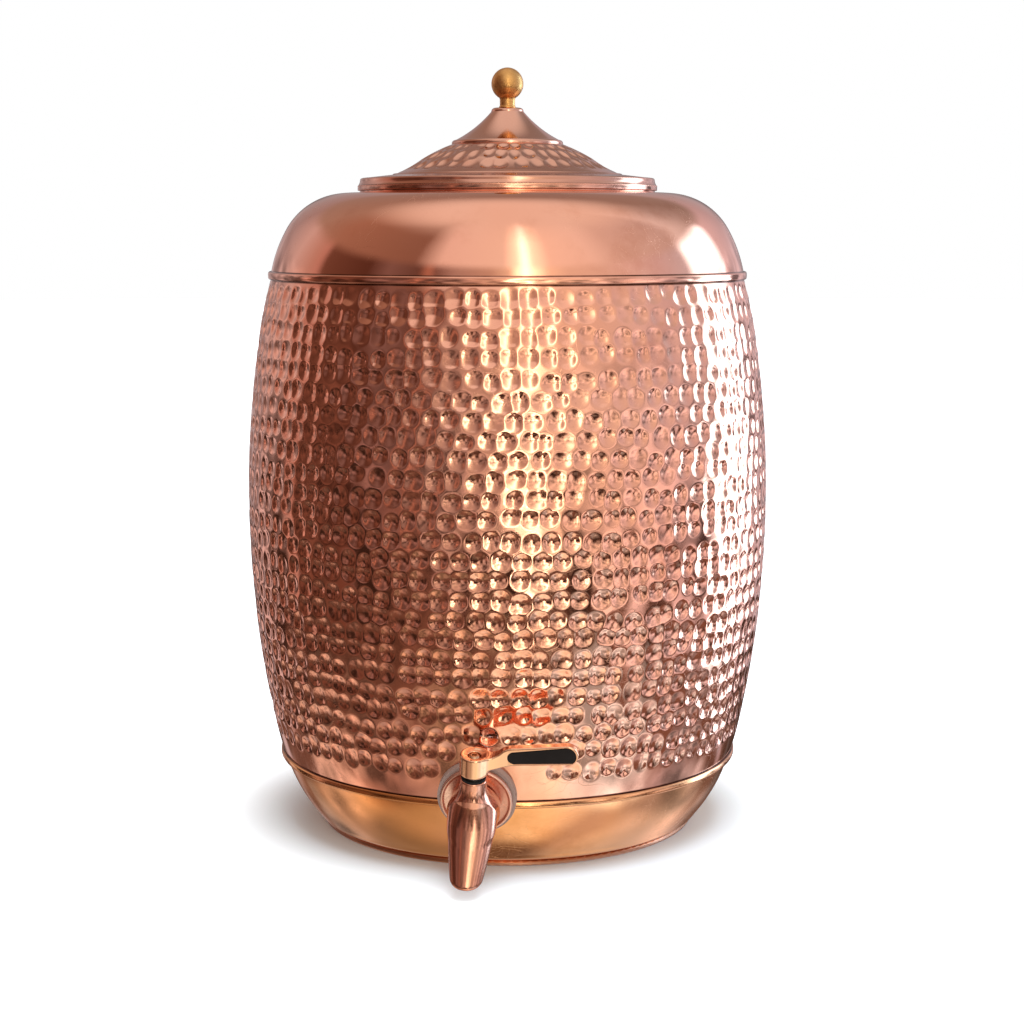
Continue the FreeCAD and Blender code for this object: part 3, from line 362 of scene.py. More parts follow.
def copper_look(name, tint, dark, rough, shaded_grooves=(), spun=0.0, scratch=0.0, hammered=False):
    """Polished copper: patches of patina, fine wear, painted shade in the creases and, where spun, fine
    level rings.

    rough is the least and the greatest roughness. Each shaded groove is (height, half width): a level band
    darkened as painted shade, where shade falls in a crease. Hammered sheet has dirt in its marks.
    """
    look = Look(name, tint, roughness=rough[0])
    radius, angle, height = look.split()
    patch = look.noise(PATCH_SCALE, 5, 0.6)
    cloud = look.noise(CLOUD_SCALE, 3, 0.5)
    fine = look.noise(GRAIN_SCALE, 3, 0.7)
    pale = tuple(0.5 * (a + b) for a, b in zip(tint, COPPER_PALE))
    tone = look.mix(look.spread(cloud, 0.35, 0.68, 0.0, 0.8), tint, pale)
    tone = look.mix(look.spread(patch, 0.52, 0.78, 0.0, 0.5), tone, dark)
    if hammered:
        hollow = look.new("Attribute", attribute_name="hollow")
        speckle = look.noise(SPECKLE_SCALE, 4, 0.75)
        dirt = look.math("MULTIPLY", hollow.outputs["Fac"], look.spread(speckle, 0.56, 0.8))
        tone = look.mix(look.math("MULTIPLY", dirt, 0.5), tone, GRIME_AND_SHADE)
    # Painted shade: a level band at each groove is darkened patchily, as if shade fell in the crease.
    for centre, half in shaded_grooves:
        shade_strength = look.spread(patch, 0.3, 0.6, 0.55, 1.0)
        tone = look.mix(look.math("MULTIPLY", band(look, height, centre, half), shade_strength), tone, GRIME_AND_SHADE)
    look.give("Base Color", tone)
    wear = look.spread(look.math("ADD", fine, look.math("MULTIPLY", patch, 0.8)), 0.7, 1.15, *rough)
    if scratch:
        lines = look.math("MAXIMUM", *(scratches(look, *line) for line in SCRATCH_LINES))
        lines = look.math("MULTIPLY", lines, look.spread(look.noise(SCRATCH_PLACES, 2), 0.52, 0.62))
        wear = look.math("ADD", wear, look.math("MULTIPLY", lines, scratch), clamp=True)
        look.bump(lines, SCRATCH_DEPTH, 0.6)
    look.give("Roughness", wear)
    if spun:
        turns = look.math("MULTIPLY", angle, RING_TURNS)
        across, up = (look.math("MULTIPLY", length, RING_SCALE) for length in (radius, height))
        place = look.new("CombineXYZ", (turns, across, up)).outputs[0]
        look.bump(look.noise(1, 3, 0.7, place), GRAIN_DEPTH, spun)
    look.bump(fine, GRAIN_DEPTH, 0.25)
    return look.material


def darker(tint, share):
    """A colour with that share of its brightness."""
    return tuple(channel * share for channel in tint)


def satin_brass(name, tint, rough):
    """Brushed brass with darker, tarnished patches."""
    look = Look(name, tint, roughness=rough)
    patch, fine = look.noise(60, 3, 0.5), look.noise(700, 2, 0.5)
    look.give("Base Color", look.mix(look.spread(patch, 0.4, 0.75, 0.0, 0.6), tint, darker(tint, 0.62)))
    look.give("Roughness", look.spread(fine, 0.3, 0.7, rough * 0.8, rough * 1.3))
    look.bump(fine, 0.000002, 0.1)
    return look.material


def plain_metal(name, tint, rough):
    """Steel, plating or a screw: a fine grain and faint stains."""
    look = Look(name, tint, roughness=rough)
    fine = look.noise(1800, 3, 0.6)
    stains = look.spread(look.noise(90, 4), 0.4, 0.8, 0.0, 0.35)
    look.give("Base Color", look.mix(stains, tint, darker(tint, 0.7)))
    look.give("Roughness", look.spread(fine, 0.3, 0.7, rough * 0.75, rough * 1.35))
    return look.material


def soft_solid(name, tint, rough, grain=900, depth=0.00002, shine=0.5):
    """Rubber, PTFE or enamel: not a metal, with a fine grain and faint dust."""
    look = Look(name, tint, metallic=0.0, roughness=rough, shine=shine)
    fine = look.noise(grain, 3, 0.6)
    dusty = tuple(min(1.0, c * 1.5 + 0.004) for c in tint)
    look.give("Base Color", look.mix(look.spread(look.noise(60, 5), 0.45, 0.8, 0.0, 0.4), tint, dusty))
    look.give("Roughness", look.spread(fine, 0.3, 0.7, rough * 0.85, min(1.0, rough * 1.15)))
    look.bump(fine, depth, 0.3)
    return look.material


hammered_copper = copper_look(
    "hammered_copper", COPPER, COPPER_BROWN, (0.05, 0.15), scratch=0.15, hammered=True,
    shaded_grooves=((LOWER_SEAM_TOP, 0.9), (UPPER_SEAM_LOW, 0.9)),
)
# The shoulder's last darkened band is a painted shadow just below where the lid's rim rests.
shoulder_copper = copper_look(
    "shoulder_copper", COPPER, COPPER_BROWN, (0.045, 0.10), spun=0.25, scratch=0.45,
    shaded_grooves=((UPPER_SEAM_LOW + 0.2, 0.6), (UPPER_SEAM_TOP + 0.1, 0.45), (LID_REST - 1.2, 1.2)),
)
bowl_copper = copper_look(
    "bowl_copper", GOLD_COPPER, GOLD_BROWN, (0.12, 0.24), spun=0.3, scratch=0.12,
    shaded_grooves=((LOWER_SEAM_LOW - 0.1, 0.5), (LOWER_SEAM_TOP, 0.5)),
)
lid_copper = copper_look(
    "lid_copper", LID_COPPER, COPPER_BROWN, (0.08, 0.17), spun=0.3, scratch=0.1, hammered=True,
    shaded_grooves=((LID_REST + SHEET, 0.35),),
)
tap_copper = copper_look("tap_copper", (0.76, 0.35, 0.24), (0.46, 0.15, 0.09), (0.15, 0.24))
lever_copper = copper_look("lever_copper", (0.92, 0.53, 0.31), (0.62, 0.27, 0.13), (0.11, 0.19))
# Painted shade: the foot ring gets a much darker, duller copy of the copper, standing for the contact shade
# where it meets the floor.
shaded_foot_copper = copper_look("shaded_foot_copper", (0.42, 0.17, 0.08), (0.16, 0.07, 0.04), (0.3, 0.5))
inner_copper = copper_look("plain_copper", COPPER, COPPER_BROWN, (0.2, 0.35), spun=0.4)
knob_brass = satin_brass("knob_brass", (0.80, 0.43, 0.15), 0.38)
nut_brass = satin_brass("nut_brass", (0.74, 0.56, 0.28), 0.28)
steel = plain_metal("steel", (0.62, 0.62, 0.63), 0.28)
lever_screw_copper = plain_metal("lever_screw_copper", (0.62, 0.36, 0.22), 0.3)
flange_copper = copper_look("flange_copper", (0.86, 0.55, 0.44), (0.60, 0.30, 0.22), (0.24, 0.4), spun=0.3)
chrome = plain_metal("chrome", (0.80, 0.80, 0.82), 0.12)
gasket_rubber = soft_solid("gasket_rubber", (0.25, 0.165, 0.135), 0.5)
black_rubber = soft_solid("black_rubber", (0.008, 0.007, 0.007), 0.5, shine=0.15)
black_enamel = soft_solid("black_enamel", (0.006, 0.004, 0.004), 0.2, 300, 0.000004, shine=0.12)
ptfe = soft_solid("ptfe", (0.88, 0.88, 0.85), 0.5)


# -------------------- barrel

BARREL_COLUMNS = 900
DENT_RADIUS, DENT_DEPTH = 5.15, 0.95
DENT_PITCH, DENTS_ROUND = 9.7, 88
TAP_ANGLE, TAP_HEIGHT = -math.pi / 2, 44.0
GASKET_RADIUS = 19.6
# Plain metal below the lowest row of marks, above the highest and round the gasket, which reaches
# further on the side of the lever. The marks thin out over a stretch beside it and at the foot.
PLAIN_FOOT, PLAIN_NECK, PLAIN_TAP, PLAIN_SIDE = 7.0, 6.0, 3.0, 8.0
SPARSE_FOOT, SPARSE_TAP = 10, 12
# How unevenly the marks are struck: along a row, from row to row, and up and down.
MARK_STRAY, ROW_STRAY, LEVEL_STRAY = 0.085, 0.30, 0.6

# The barrel's wall from foot to neck. Its widest part lies on the middle arc.
WALL = (
    (BARREL_FOOT, LOWER_SEAM_TOP, arc(190, 1)),
    (129.7, 66.0, arc(575, 1)),
    (131.7, 272.0, arc(200, 1)),
    (BARREL_NECK, UPPER_SEAM_LOW),
)


def barrel_dents(along, heights):
    """Rows of round hammer marks, close in the belly and sparse at the foot and beside the tap."""
    marks = []
    drift = 0.0
    lowest = np.interp(LOWER_SEAM_TOP + PLAIN_FOOT, heights, along)
    highest = np.interp(UPPER_SEAM_LOW - PLAIN_NECK, heights, along)
    rows = int((highest - lowest) / DENT_PITCH)
    for row in range(rows + 1):
        level = highest - row * DENT_PITCH
        drift += chance.normal(0, ROW_STRAY)
        bends = chance.uniform(0, 2 * math.pi, 3)
        for k in range(DENTS_ROUND):
            angle = (k + drift + chance.normal(0, MARK_STRAY)) * 2 * math.pi / DENTS_ROUND
            sway = sum(math.sin(n * angle + bend) for n, bend in zip((2, 5, 9), bends))
            place = level + LEVEL_STRAY * sway + chance.normal(0, LEVEL_STRAY)
            size = DENT_RADIUS * chance.uniform(0.82, 1.08)
            depth = DENT_DEPTH * chance.uniform(0.62, 1.12)
            stretch = chance.uniform(0.92, 1.09)
            luck = chance.uniform(0, 1)
            height = np.interp(place, along, heights)
            beside = math.remainder(angle - TAP_ANGLE, 2 * math.pi) * BARREL_FOOT
            edge = LOWER_SEAM_TOP + 13 + 5 * math.sin(3 * angle + 1) + 4 * math.sin(7 * angle)
            keep = np.clip((height - edge + SPARSE_FOOT) / SPARSE_FOOT, 0.15, 1)
            near_tap = math.hypot(beside - PLAIN_SIDE, height - TAP_HEIGHT)
            keep *= np.clip((near_tap - GASKET_RADIUS - PLAIN_TAP) / SPARSE_TAP, 0.0, 1)
            if luck > keep * 1.25:
                continue
            fade = 0.45 + 0.55 * min(1.0, keep)
            half_length = size * stretch * (0.8 + 0.2 * fade)
            marks.append((place, angle, half_length, size / stretch, depth * fade))
    return marks


def make_barrel():
    """Hammered wall with a flange at each end, which the lock seams hold."""
    flange_low = (LOWER_SEAM_LOW + LOWER_SEAM_TOP - SHEET) / 2
    flange_high = (UPPER_SEAM_LOW + UPPER_SEAM_TOP - SHEET) / 2
    low_reach, high_reach = LOWER_SEAM_RADIUS - SHEET - 0.05, UPPER_SEAM_RADIUS - SHEET - 0.05
    outside = outline(WALL, 0.93)
    inside = outline(WALL, 2.2)[::-1] - np.array([SHEET, 0])
    foot = np.array([
        (BARREL_FOOT - SHEET, flange_low), (low_reach, flange_low),
        (low_reach, flange_low + SHEET), (BARREL_FOOT, flange_low + SHEET),
    ])
    neck = np.array([
        (BARREL_NECK, flange_high), (high_reach, flange_high),
        (high_reach, flange_high + SHEET), (BARREL_NECK - SHEET, flange_high + SHEET),
    ])
    path = np.vstack([foot, outside, neck, inside])
    heights, along_outside = outside[:, 1], distance_along(outside)
    marks = barrel_dents(along_outside, heights)
    angle = np.arange(BARREL_COLUMNS) * 2 * math.pi / BARREL_COLUMNS
    along = np.interp(path[:, 1], heights, along_outside)
    depths = np.zeros((len(path), BARREL_COLUMNS))
    outer_end = len(foot) + len(outside)
    for rows in (np.arange(len(foot), outer_end), np.arange(outer_end + len(neck), len(path))):
        part = np.zeros((len(rows), BARREL_COLUMNS))
        stamp(part, along[rows], path[rows, 0], marks)
        depths[rows] = part
    # The sheet between the marks is slightly uneven too, but not at the seams.
    calm = np.clip((along - 1) / 12, 0, 1) * np.clip((along_outside[-1] - 1 - along) / 12, 0, 1)
    uneven = waves(along, angle, 60) * 0.10 + waves(along, angle, 26, 20) * 0.05
    depths += calm[:, None] * np.clip(uneven + 0.16, 0, 0.4)
    points, faces = turned_mesh(path, BARREL_COLUMNS, dents=depths)
    piece = new_piece("barrel", points, faces, "vessel", "barrel_shell", hammered_copper)
    mark_hollows(piece, depths)


def mark_hollows(piece, depths):
    """Keeps how deep each point lies, from 0 to 1, for the material."""
    hollow = piece.data.attributes.new("hollow", "FLOAT", "POINT")
    values = np.zeros(len(piece.data.vertices), np.float32)
    values[: depths.size] = np.clip(depths / DENT_DEPTH, 0, 1).ravel()
    hollow.data.foreach_set("value", values)


make_barrel()


# -------------------- shoulder, bowl, lid, knob

PLAIN_COLUMNS = 360
NEAR_AXIS = 0.01
SCREW_HOLE = 2.1


def seam_slot(radius, low, high):
    """The slot of a folded seam: the radius that it reaches out to, its floor and its roof."""
    middle = (low + high) / 2
    return radius - SHEET - 0.03, middle - SHEET / 2 - FLANGE_PLAY, middle + SHEET / 2 + FLANGE_PLAY


def make_shoulder():
    """Spun shoulder with a rolled seam below and a wired mouth above."""
    seam, low, high = UPPER_SEAM_RADIUS, UPPER_SEAM_LOW, UPPER_SEAM_TOP
    foot, turn, turn_up, flat, flat_up = 125.8, 116.8, 321.6, 88.0, shoulder_high[2] - 2.9
    side_arc, top_arc = 74, 37
    bead, bead_up, tube = 76.9, shoulder_high[2] - 1.6, 1.6
    lip, bulge, inner = 1.0, 9.0, BARREL_NECK + 0.05
    flange, slot_low, slot_high = seam_slot(seam, low, high)
    outside = [
        (inner, low + 0.35),
        (seam - lip, low, arc(lip, 1)),
        (seam, low + lip, arc(bulge, 1)),
        (seam, high - lip, arc(lip, 1)),
        (seam - lip, high - 0.05),
        (foot + 0.12, high - 0.15),
        (foot, high + 0.35, arc(side_arc, 1)),
        (turn, turn_up, arc(top_arc, 1)),
        (flat, flat_up),
        (bead + tube * 0.85, flat_up, arc(tube, 1)),
        (bead + tube, bead_up, arc(tube, 1)),
        (bead, bead_up + tube, arc(tube, 1)),
        (bead - tube, bead_up, arc(tube, 1)),
        (bead, bead_up - tube),
    ]
    inside = [
        (bead, bead_up - tube),
        (flat - SHEET, flat_up - SHEET, arc(top_arc, -1)),
        (turn - SHEET, turn_up - SHEET, arc(side_arc, -1)),
        (foot - SHEET, high - SHEET),
        (foot - SHEET, slot_high),
        (flange, slot_high),
        (flange, slot_low),
        (inner, slot_low),
        (inner, low + 0.35),
    ]
    path = soften(np.vstack([outline(outside, 1.3)[:-1], outline(inside, 1.6)[:-1]]), 0.25)
    points, faces = turned_mesh(path, PLAIN_COLUMNS)
    new_piece("shoulder", points, faces, "vessel", "shoulder_shell", shoulder_copper)


def make_bowl():
    """Spun base: a flat bottom, a curved wall and the rolled lower seam."""
    seam, low, high = LOWER_SEAM_RADIUS, LOWER_SEAM_LOW, LOWER_SEAM_TOP
    flat, floor, corner, corner_up, top = 100.0, bowl_low[2], 105.6, 6.4, 121.9
    corner_arc, wall_arc, bulge = 6.4, 85, 6.0
    flange, slot_low, slot_high = seam_slot(seam, low, high)
    corners = [
        (NEAR_AXIS, floor),
        (flat, floor, arc(corner_arc, 1)),
        (corner, corner_up, arc(wall_arc, 1)),
        (top, low - 0.3),
        (top + 0.1, low + 0.1),
        (seam - 1.1, low + 0.15, arc(1.1, 1)),
        (seam, low + 1.2, arc(bulge, 1)),
        (seam, high - 1.2, arc(1.2, 1)),
        (seam - 1.0, high),
        (BARREL_FOOT + 0.05, high - 0.1),
        (BARREL_FOOT + 0.05, slot_high),
        (flange, slot_high),
        (flange, slot_low),
        (top - SHEET, slot_low),
        (top - SHEET, low + SHEET, arc(wall_arc, -1)),
        (corner - SHEET, corner_up + SHEET, arc(corner_arc, -1)),
        (flat - SHEET, floor + SHEET),
        (NEAR_AXIS, floor + SHEET),
    ]
    path = soften(outline(corners, 1.6), 0.2, closed=False)
    points, faces = turned_mesh(path, PLAIN_COLUMNS, closed=False)
    new_piece("bowl", points, faces, "vessel", "base_bowl", bowl_copper)


LID_COLUMNS = 640
RIM_DROP = 1.6
# Rows of marks on the lid's cone: radius, number of marks, half length and depth.
PETAL_ROWS = ((51.4, 38, 5.4, 1.25), (43.2, 38, 5.4, 1.15), (34.8, 34, 5.0, 0.9))


def lid_petals(along, radius):
    """Rows of long hammer marks that point up the cone, larger in the lower rows."""
    marks = []
    for ring, count, half_length, depth in PETAL_ROWS:
        place = np.interp(-ring, -radius, along)
        half_width = math.pi * ring / count * 0.98
        phase = chance.uniform(0, 1)
        for k in range(count):
            angle = (k + phase + chance.normal(0, 0.10)) * 2 * math.pi / count
            marks.append((
                place + chance.normal(0, 0.5),
                angle,
                half_length * chance.uniform(0.85, 1.1),
                half_width * chance.uniform(0.85, 1.08),
                depth * chance.uniform(0.6, 1.1),
            ))
    return marks


def make_lid():
    """Spun lid: rim, flat, hammered cone, bead and smooth spire with a hole for the knob's screw."""
    rim, rest, top_up, turn = lid_high[0], LID_REST, LID_REST + 4.4, 1.6
    top = rim - 2.5
    step, step_up, ring, ring_up = 60.2, rest + 7.0, 57.6, rest + 8.1
    cone, cone_up, bead, bead_up, tube = 45.5, rest + 15.0, 28.2, rest + 23.9, 1.5
    spire, spire_up, soft, hole = 8.6, lid_high[2], 2.0, SCREW_HOLE
    foot_arc, cone_arc, spire_arc = 62, 95, 62
    outside = [
        (rim - SHEET, rest - RIM_DROP),
        (rim, rest - RIM_DROP),
        (rim, rest + 0.4),
        (rim - 0.5, rest + 1.3, arc(5.0, -1)),
        (rim - 1.3, top_up - 0.6, arc(1.2, 1)),
        (top - 0.3, top_up + 0.45),
        (step + 1.2, step_up - 0.35),
        (step + 0.5, step_up + 0.3),
        (step - 0.5, step_up + 0.35),
        (ring + 1.4, ring_up - 0.75),
        (ring, ring_up, arc(foot_arc, -1)),
        (cone, cone_up, arc(cone_arc, 1)),
        (bead + tube * 0.9, bead_up - tube * 0.75, arc(tube * 1.15, 1)),
        (bead - tube * 0.3, bead_up + tube * 0.7, arc(spire_arc, -1)),
        (spire, spire_up - soft, arc(soft, 1)),
        (spire - soft, spire_up),
        (hole, spire_up),
        (hole, spire_up - SHEET),
    ]
    inside = [
        (hole, spire_up - SHEET),
        (spire - soft, spire_up - SHEET, arc(soft * 0.8, -1)),
        (spire - SHEET, spire_up - soft - SHEET / 2, arc(spire_arc, 1)),
        (bead - SHEET * 0.6, bead_up - SHEET, arc(cone_arc, -1)),
        (cone - SHEET / 2, cone_up - SHEET, arc(foot_arc, 1)),
        (ring - SHEET / 2, ring_up - SHEET),
        (step - SHEET / 2, step_up - SHEET),
        (top - turn - SHEET * 0.3, top_up + turn * 0.7 - SHEET),
        (top - SHEET, top_up - SHEET / 2),
        (rim - SHEET, rest + SHEET),
        (rim - SHEET, rest - RIM_DROP),
    ]
    path = soften(np.vstack([outline(outside, 0.8)[:-1], outline(inside, 1.4)[:-1]]), 0.3)
    # The cone's rows on the outside and on the inside, which take the same marks.
    cone_rows = np.where((path[:, 0] < ring - 0.8) & (path[:, 0] > bead + 2.2))[0]
    split = np.where(np.diff(cone_rows) > 1)[0][0] + 1
    outer, inner = cone_rows[:split], cone_rows[split:]
    along_outer = distance_along(path)[outer]
    along_outer = along_outer - along_outer[0]
    marks = lid_petals(along_outer, path[outer, 0])
    depths = np.zeros((len(path), LID_COLUMNS))
    for rows in (outer, inner):
        along = np.interp(-path[rows, 0], -path[outer, 0], along_outer)
        part = np.zeros((len(rows), LID_COLUMNS))
        stamp(part, along, path[rows, 0], marks)
        ends = np.clip(along / 2.5, 0, 1) * np.clip((along_outer[-1] - along) / 2.5, 0, 1)
        depths[rows] = part * ends[:, None]
    points, faces = turned_mesh(path, LID_COLUMNS, dents=depths)
    piece = new_piece("lid", points, faces, "lid", "lid_shell", lid_copper)
    mark_hollows(piece, depths * 0.5)


def make_knob():
    """Brass ball on a waisted brass neck."""
    radius = (ball_high[0] - ball_low[0]) / 2
    centre, seat = ball_high[2] - radius, ball_low[2]
    foot = math.sqrt(radius**2 - (centre - seat) ** 2)
    corners = [
        (NEAR_AXIS, seat), (foot, seat, arc(radius, 1)), (radius, centre, arc(radius, 1)),
        (NEAR_AXIS, ball_high[2]),
    ]
    points, faces = turned_mesh(soften(outline(corners, 0.5), 0.3, closed=False), 128, closed=False)
    new_piece("knob", points, faces, "lid", "knob_ball", knob_brass)
    low, high, wide = neck_low[2], neck_high[2], neck_high[0]
    corners = [
        (SCREW_HOLE, low), (wide, low), (wide, low + 0.5), (wide - 0.45, low + 1.2),
        (wide - 0.4, high - 0.6), (wide - 0.15, high), (SCREW_HOLE, high),
    ]
    points, faces = turned_mesh(soften(outline(corners, 0.4)[:-1], 0.2), 96)
    new_piece("knob_neck", points, faces, "lid", "knob_collar", knob_brass)


make_shoulder()
make_bowl()
make_lid()
make_knob()


# -------------------- tap
# The tap has a frame of its own: +Z up the valve stem, -Y out of the wall, +X along the lever.

TAP_WALL, TAP_TILT, TAP_ROLL = 123.0, 17.0, 4.4
TAP = (
    Matrix.Translation((0, -TAP_WALL, TAP_HEIGHT))
    @ Matrix.Rotation(math.radians(TAP_TILT), 4, "X")
    @ Matrix.Rotation(math.radians(TAP_ROLL), 4, "Y")
)
TAP_TURN = np.array(TAP.to_3x3())
TAP_PLACE = np.array(TAP.translation)
STEM_OUT = 22.0


def blend_union(first, second, size):
    """Joins two distance fields with a fillet about that size."""
    share = np.clip(size - np.abs(first - second), 0, None) / size
    return np.minimum(first, second) - share**2 * size / 4


def blend_cut(solid, tool, size):
    """Cuts a tool from a solid and eases the edge by about that size."""
    return -blend_union(-solid, tool, size)


def rod(across, beside, radius):
    """Distance from an endless round rod."""
    return np.hypot(across, beside) - radius


def between(value, low, high):
    """Distance from a slab between two parallel planes."""
    return np.abs(value - (low + high) / 2) - (high - low) / 2


def skin(field, low, high, cell):
    """The surface where a distance field is zero, as points, quads and normals.

    Each cell of the grid that the surface crosses gets one point, midway between the crossings on its
    edges. Each edge that the surface crosses gets one quad. The points then slide onto the surface.
    """
    axes = [np.arange(a, b + cell, cell) for a, b in zip(low, high)]
    value = field(*np.meshgrid(*axes, indexing="ij"))
    inside = value < 0
    corner = [slice(None, -1), slice(1, None)]
    total = sum(inside[part].astype(np.int8) for part in itertools.product(corner, repeat=3))
    cells = np.argwhere((total > 0) & (total < 8))
    number = np.full(total.shape, -1)
    number[tuple(cells.T)] = np.arange(len(cells))
    place, hits = np.zeros((len(cells), 3)), np.zeros(len(cells))
    for axis in range(3):
        for offset in itertools.product(*((0,) if a == axis else (0, 1) for a in range(3))):
            along = np.eye(3, dtype=int)[axis]
            near_value = value[tuple((cells + offset).T)]
            far_value = value[tuple((cells + offset + along).T)]
            crossed = (near_value < 0) != (far_value < 0)
            share = np.where(crossed, near_value / np.where(crossed, near_value - far_value, 1), 0)
            place += np.where(crossed[:, None], offset + np.outer(share, along), 0)
            hits += crossed
    points = np.array(low) + cell * (cells + place / hits[:, None])
    quads = []
    for axis, left, right in ((0, 1, 2), (1, 2, 0), (2, 0, 1)):
        near, far = [slice(None)] * 3, [slice(None)] * 3
        near[axis], far[axis] = slice(None, -1), slice(1, None)
        changed = np.argwhere(inside[tuple(near)] != inside[tuple(far)])
        changed = changed[(changed[:, left] > 0) & (changed[:, right] > 0)]
        ring = []
        for back_left, back_right in ((1, 1), (0, 1), (0, 0), (1, 0)):
            spot = changed.copy()
            spot[:, left] -= back_left
            spot[:, right] -= back_right
            ring.append(number[tuple(spot.T)])
        ring = np.stack(ring, 1)
        outward = inside[tuple(changed.T)]
        quads.append(np.where(outward[:, None], ring, ring[:, ::-1]))
    quads = np.vstack(quads)

    def slope(where):
        reach = cell * 0.25
        parts = []
        for axis in range(3):
            ahead, behind = where.copy(), where.copy()
            ahead[:, axis] += reach
            behind[:, axis] -= reach
            parts.append((field(*ahead.T) - field(*behind.T)) / (2 * reach))
        return np.stack(parts, 1)

    for _ in range(2):
        gradient = slope(points)
        move = -field(*points.T)[:, None] * gradient / np.maximum((gradient**2).sum(1), 0.05)[:, None]
        length = np.maximum(np.linalg.norm(move, axis=1), 1e-9)
        points = points + move * np.minimum(1, 0.5 * cell / length)[:, None]
    normals = slope(points)
    normals /= np.maximum(np.linalg.norm(normals, axis=1), 1e-9)[:, None]
    return points, quads, normals


def on_tap(points, normals):
    """Turns points and normals of the tap's own frame into the vessel's."""
    return points @ TAP_TURN.T + TAP_PLACE, normals @ TAP_TURN.T


# The tap's body: radii, and reaches outward from the wall or upward from the shank's axis.
SHANK_RADIUS, SHANK_BACK, SHANK_FRONT = 8.0, -19, 9
COLLAR_RADIUS, COLLAR_BACK, COLLAR_FRONT = 10.6, 7.24, 10
DRUM_RADIUS, DRUM_BACK, DRUM_FRONT = 12.5, 8.8, 17.5
NECK_RADIUS, NECK_TOP = 6.5, 23.5
SPOUT_START, SPOUT_END, SPOUT_DROP = 19.6, 38.4, 27.0
SPOUT_WIDE, SPOUT_NARROW, SPOUT_WALL = 12.0, 7.6, 1.8
SPOUT_BELLY, SPOUT_SLOPE = 1.3, 0.86
INLET_RADIUS, CHAMBER_RADIUS, CHAMBER_FLOOR = 4.2, 5.45, -8.6
DRAIN_RADIUS, DRAIN_FLOOR, BEND_RADIUS = 3.3, -12.6, 4.6


def spout_field(x, out, up, wall, top_share=0.0):
    """The tapered spout: level circles that step outward as they go down.

    wall is how far inside the outer surface it runs, and top_share how far above its start.
    """
    share = np.clip(-up / SPOUT_DROP, top_share, 1)
    full = share if wall else np.where(share > 0, np.abs(share) ** SPOUT_BELLY, share * 0.6)
    centre = SPOUT_START + (SPOUT_END - SPOUT_START) * share
    radius = SPOUT_WIDE + (SPOUT_NARROW - SPOUT_WIDE) * full - wall
    return (np.hypot(x, out - centre) - radius) * SPOUT_SLOPE


def tap_field(x, y, up):
    out = -y
    shank = np.maximum(rod(x, up, SHANK_RADIUS), between(out, SHANK_BACK, SHANK_FRONT))
    collar = np.maximum(rod(x, up, COLLAR_RADIUS), between(out, COLLAR_BACK, COLLAR_FRONT))
    drum = blend_cut(rod(x, up, DRUM_RADIUS), -between(out, DRUM_BACK, DRUM_FRONT), 2.4)
    ahead = 0.8 * np.clip(out - SPOUT_START, None, 12)
    dome = np.sqrt(x**2 + ahead**2 + np.clip(up, 0, None) ** 2) - DRUM_RADIUS
    spout = blend_cut(spout_field(x, out, up, 0, -0.4), -np.where(up > 0, dome, -1.0), 0.01)
    spout = blend_cut(spout, up + SPOUT_DROP, 3.2)
    neck = blend_cut(rod(x, out - STEM_OUT, NECK_RADIUS), -between(up, 0, NECK_TOP), 0.7)
    whole = np.minimum(shank, collar)
    whole = blend_union(whole, drum, 0.8)
    whole = blend_union(whole, spout, 3.0)
    whole = blend_union(whole, neck, 9.0)
    whole = np.maximum(whole, between(up, -SPOUT_DROP, NECK_TOP))
    # The water's way: inlet, valve chamber, drain, and a bend into the spout's bore.
    inlet = np.maximum(rod(x, up, INLET_RADIUS), between(out, -30, STEM_OUT))
    chamber = np.maximum(rod(x, out - STEM_OUT, CHAMBER_RADIUS), between(up, CHAMBER_FLOOR, 30))
    drain = np.maximum(rod(x, out - STEM_OUT, DRAIN_RADIUS), between(up, DRAIN_FLOOR, -8))
    bend = np.sqrt(x**2 + (out - STEM_OUT - 1.6) ** 2 + (up + 12.8) ** 2) - BEND_RADIUS
    bore = np.maximum(spout_field(x, out, up, SPOUT_WALL), between(up, -40, -0.47 * SPOUT_DROP))
    whole = blend_cut(whole, inlet, 0.4)
    whole = blend_cut(whole, np.minimum(chamber, drain), 0.4)
    return blend_cut(whole, np.minimum(bend, bore), 0.7)


def make_cast(name, field, low, high, cell, body, node, material):
    """A cast piece of the tap, as the skin of its distance field between two corners."""
    points, quads, normals = skin(field, low, high, cell)
    points, normals = on_tap(points, normals)
    new_piece(name, points, quads.tolist(), body, node, material, normals)


def polygon_field(x, z, points):
    """Signed distance to a closed polygon, negative inside."""
    distance = np.full(np.shape(x), 1e9)
    crossings = np.zeros(np.shape(x), bool)
    for (ax, az), (bx, bz) in zip(points, np.roll(points, -1, 0)):
        ex, ez = bx - ax, bz - az
        wx, wz = x - ax, z - az
        share = np.clip((wx * ex + wz * ez) / (ex * ex + ez * ez), 0, 1)
        distance = np.minimum(distance, (wx - ex * share) ** 2 + (wz - ez * share) ** 2)
        spans = (az > z) != (bz > z)
        crossings ^= spans & (x < ex * (z - az) / np.where(spans, ez, 1) + ax)
    return np.where(crossings, -1, 1) * np.sqrt(distance)


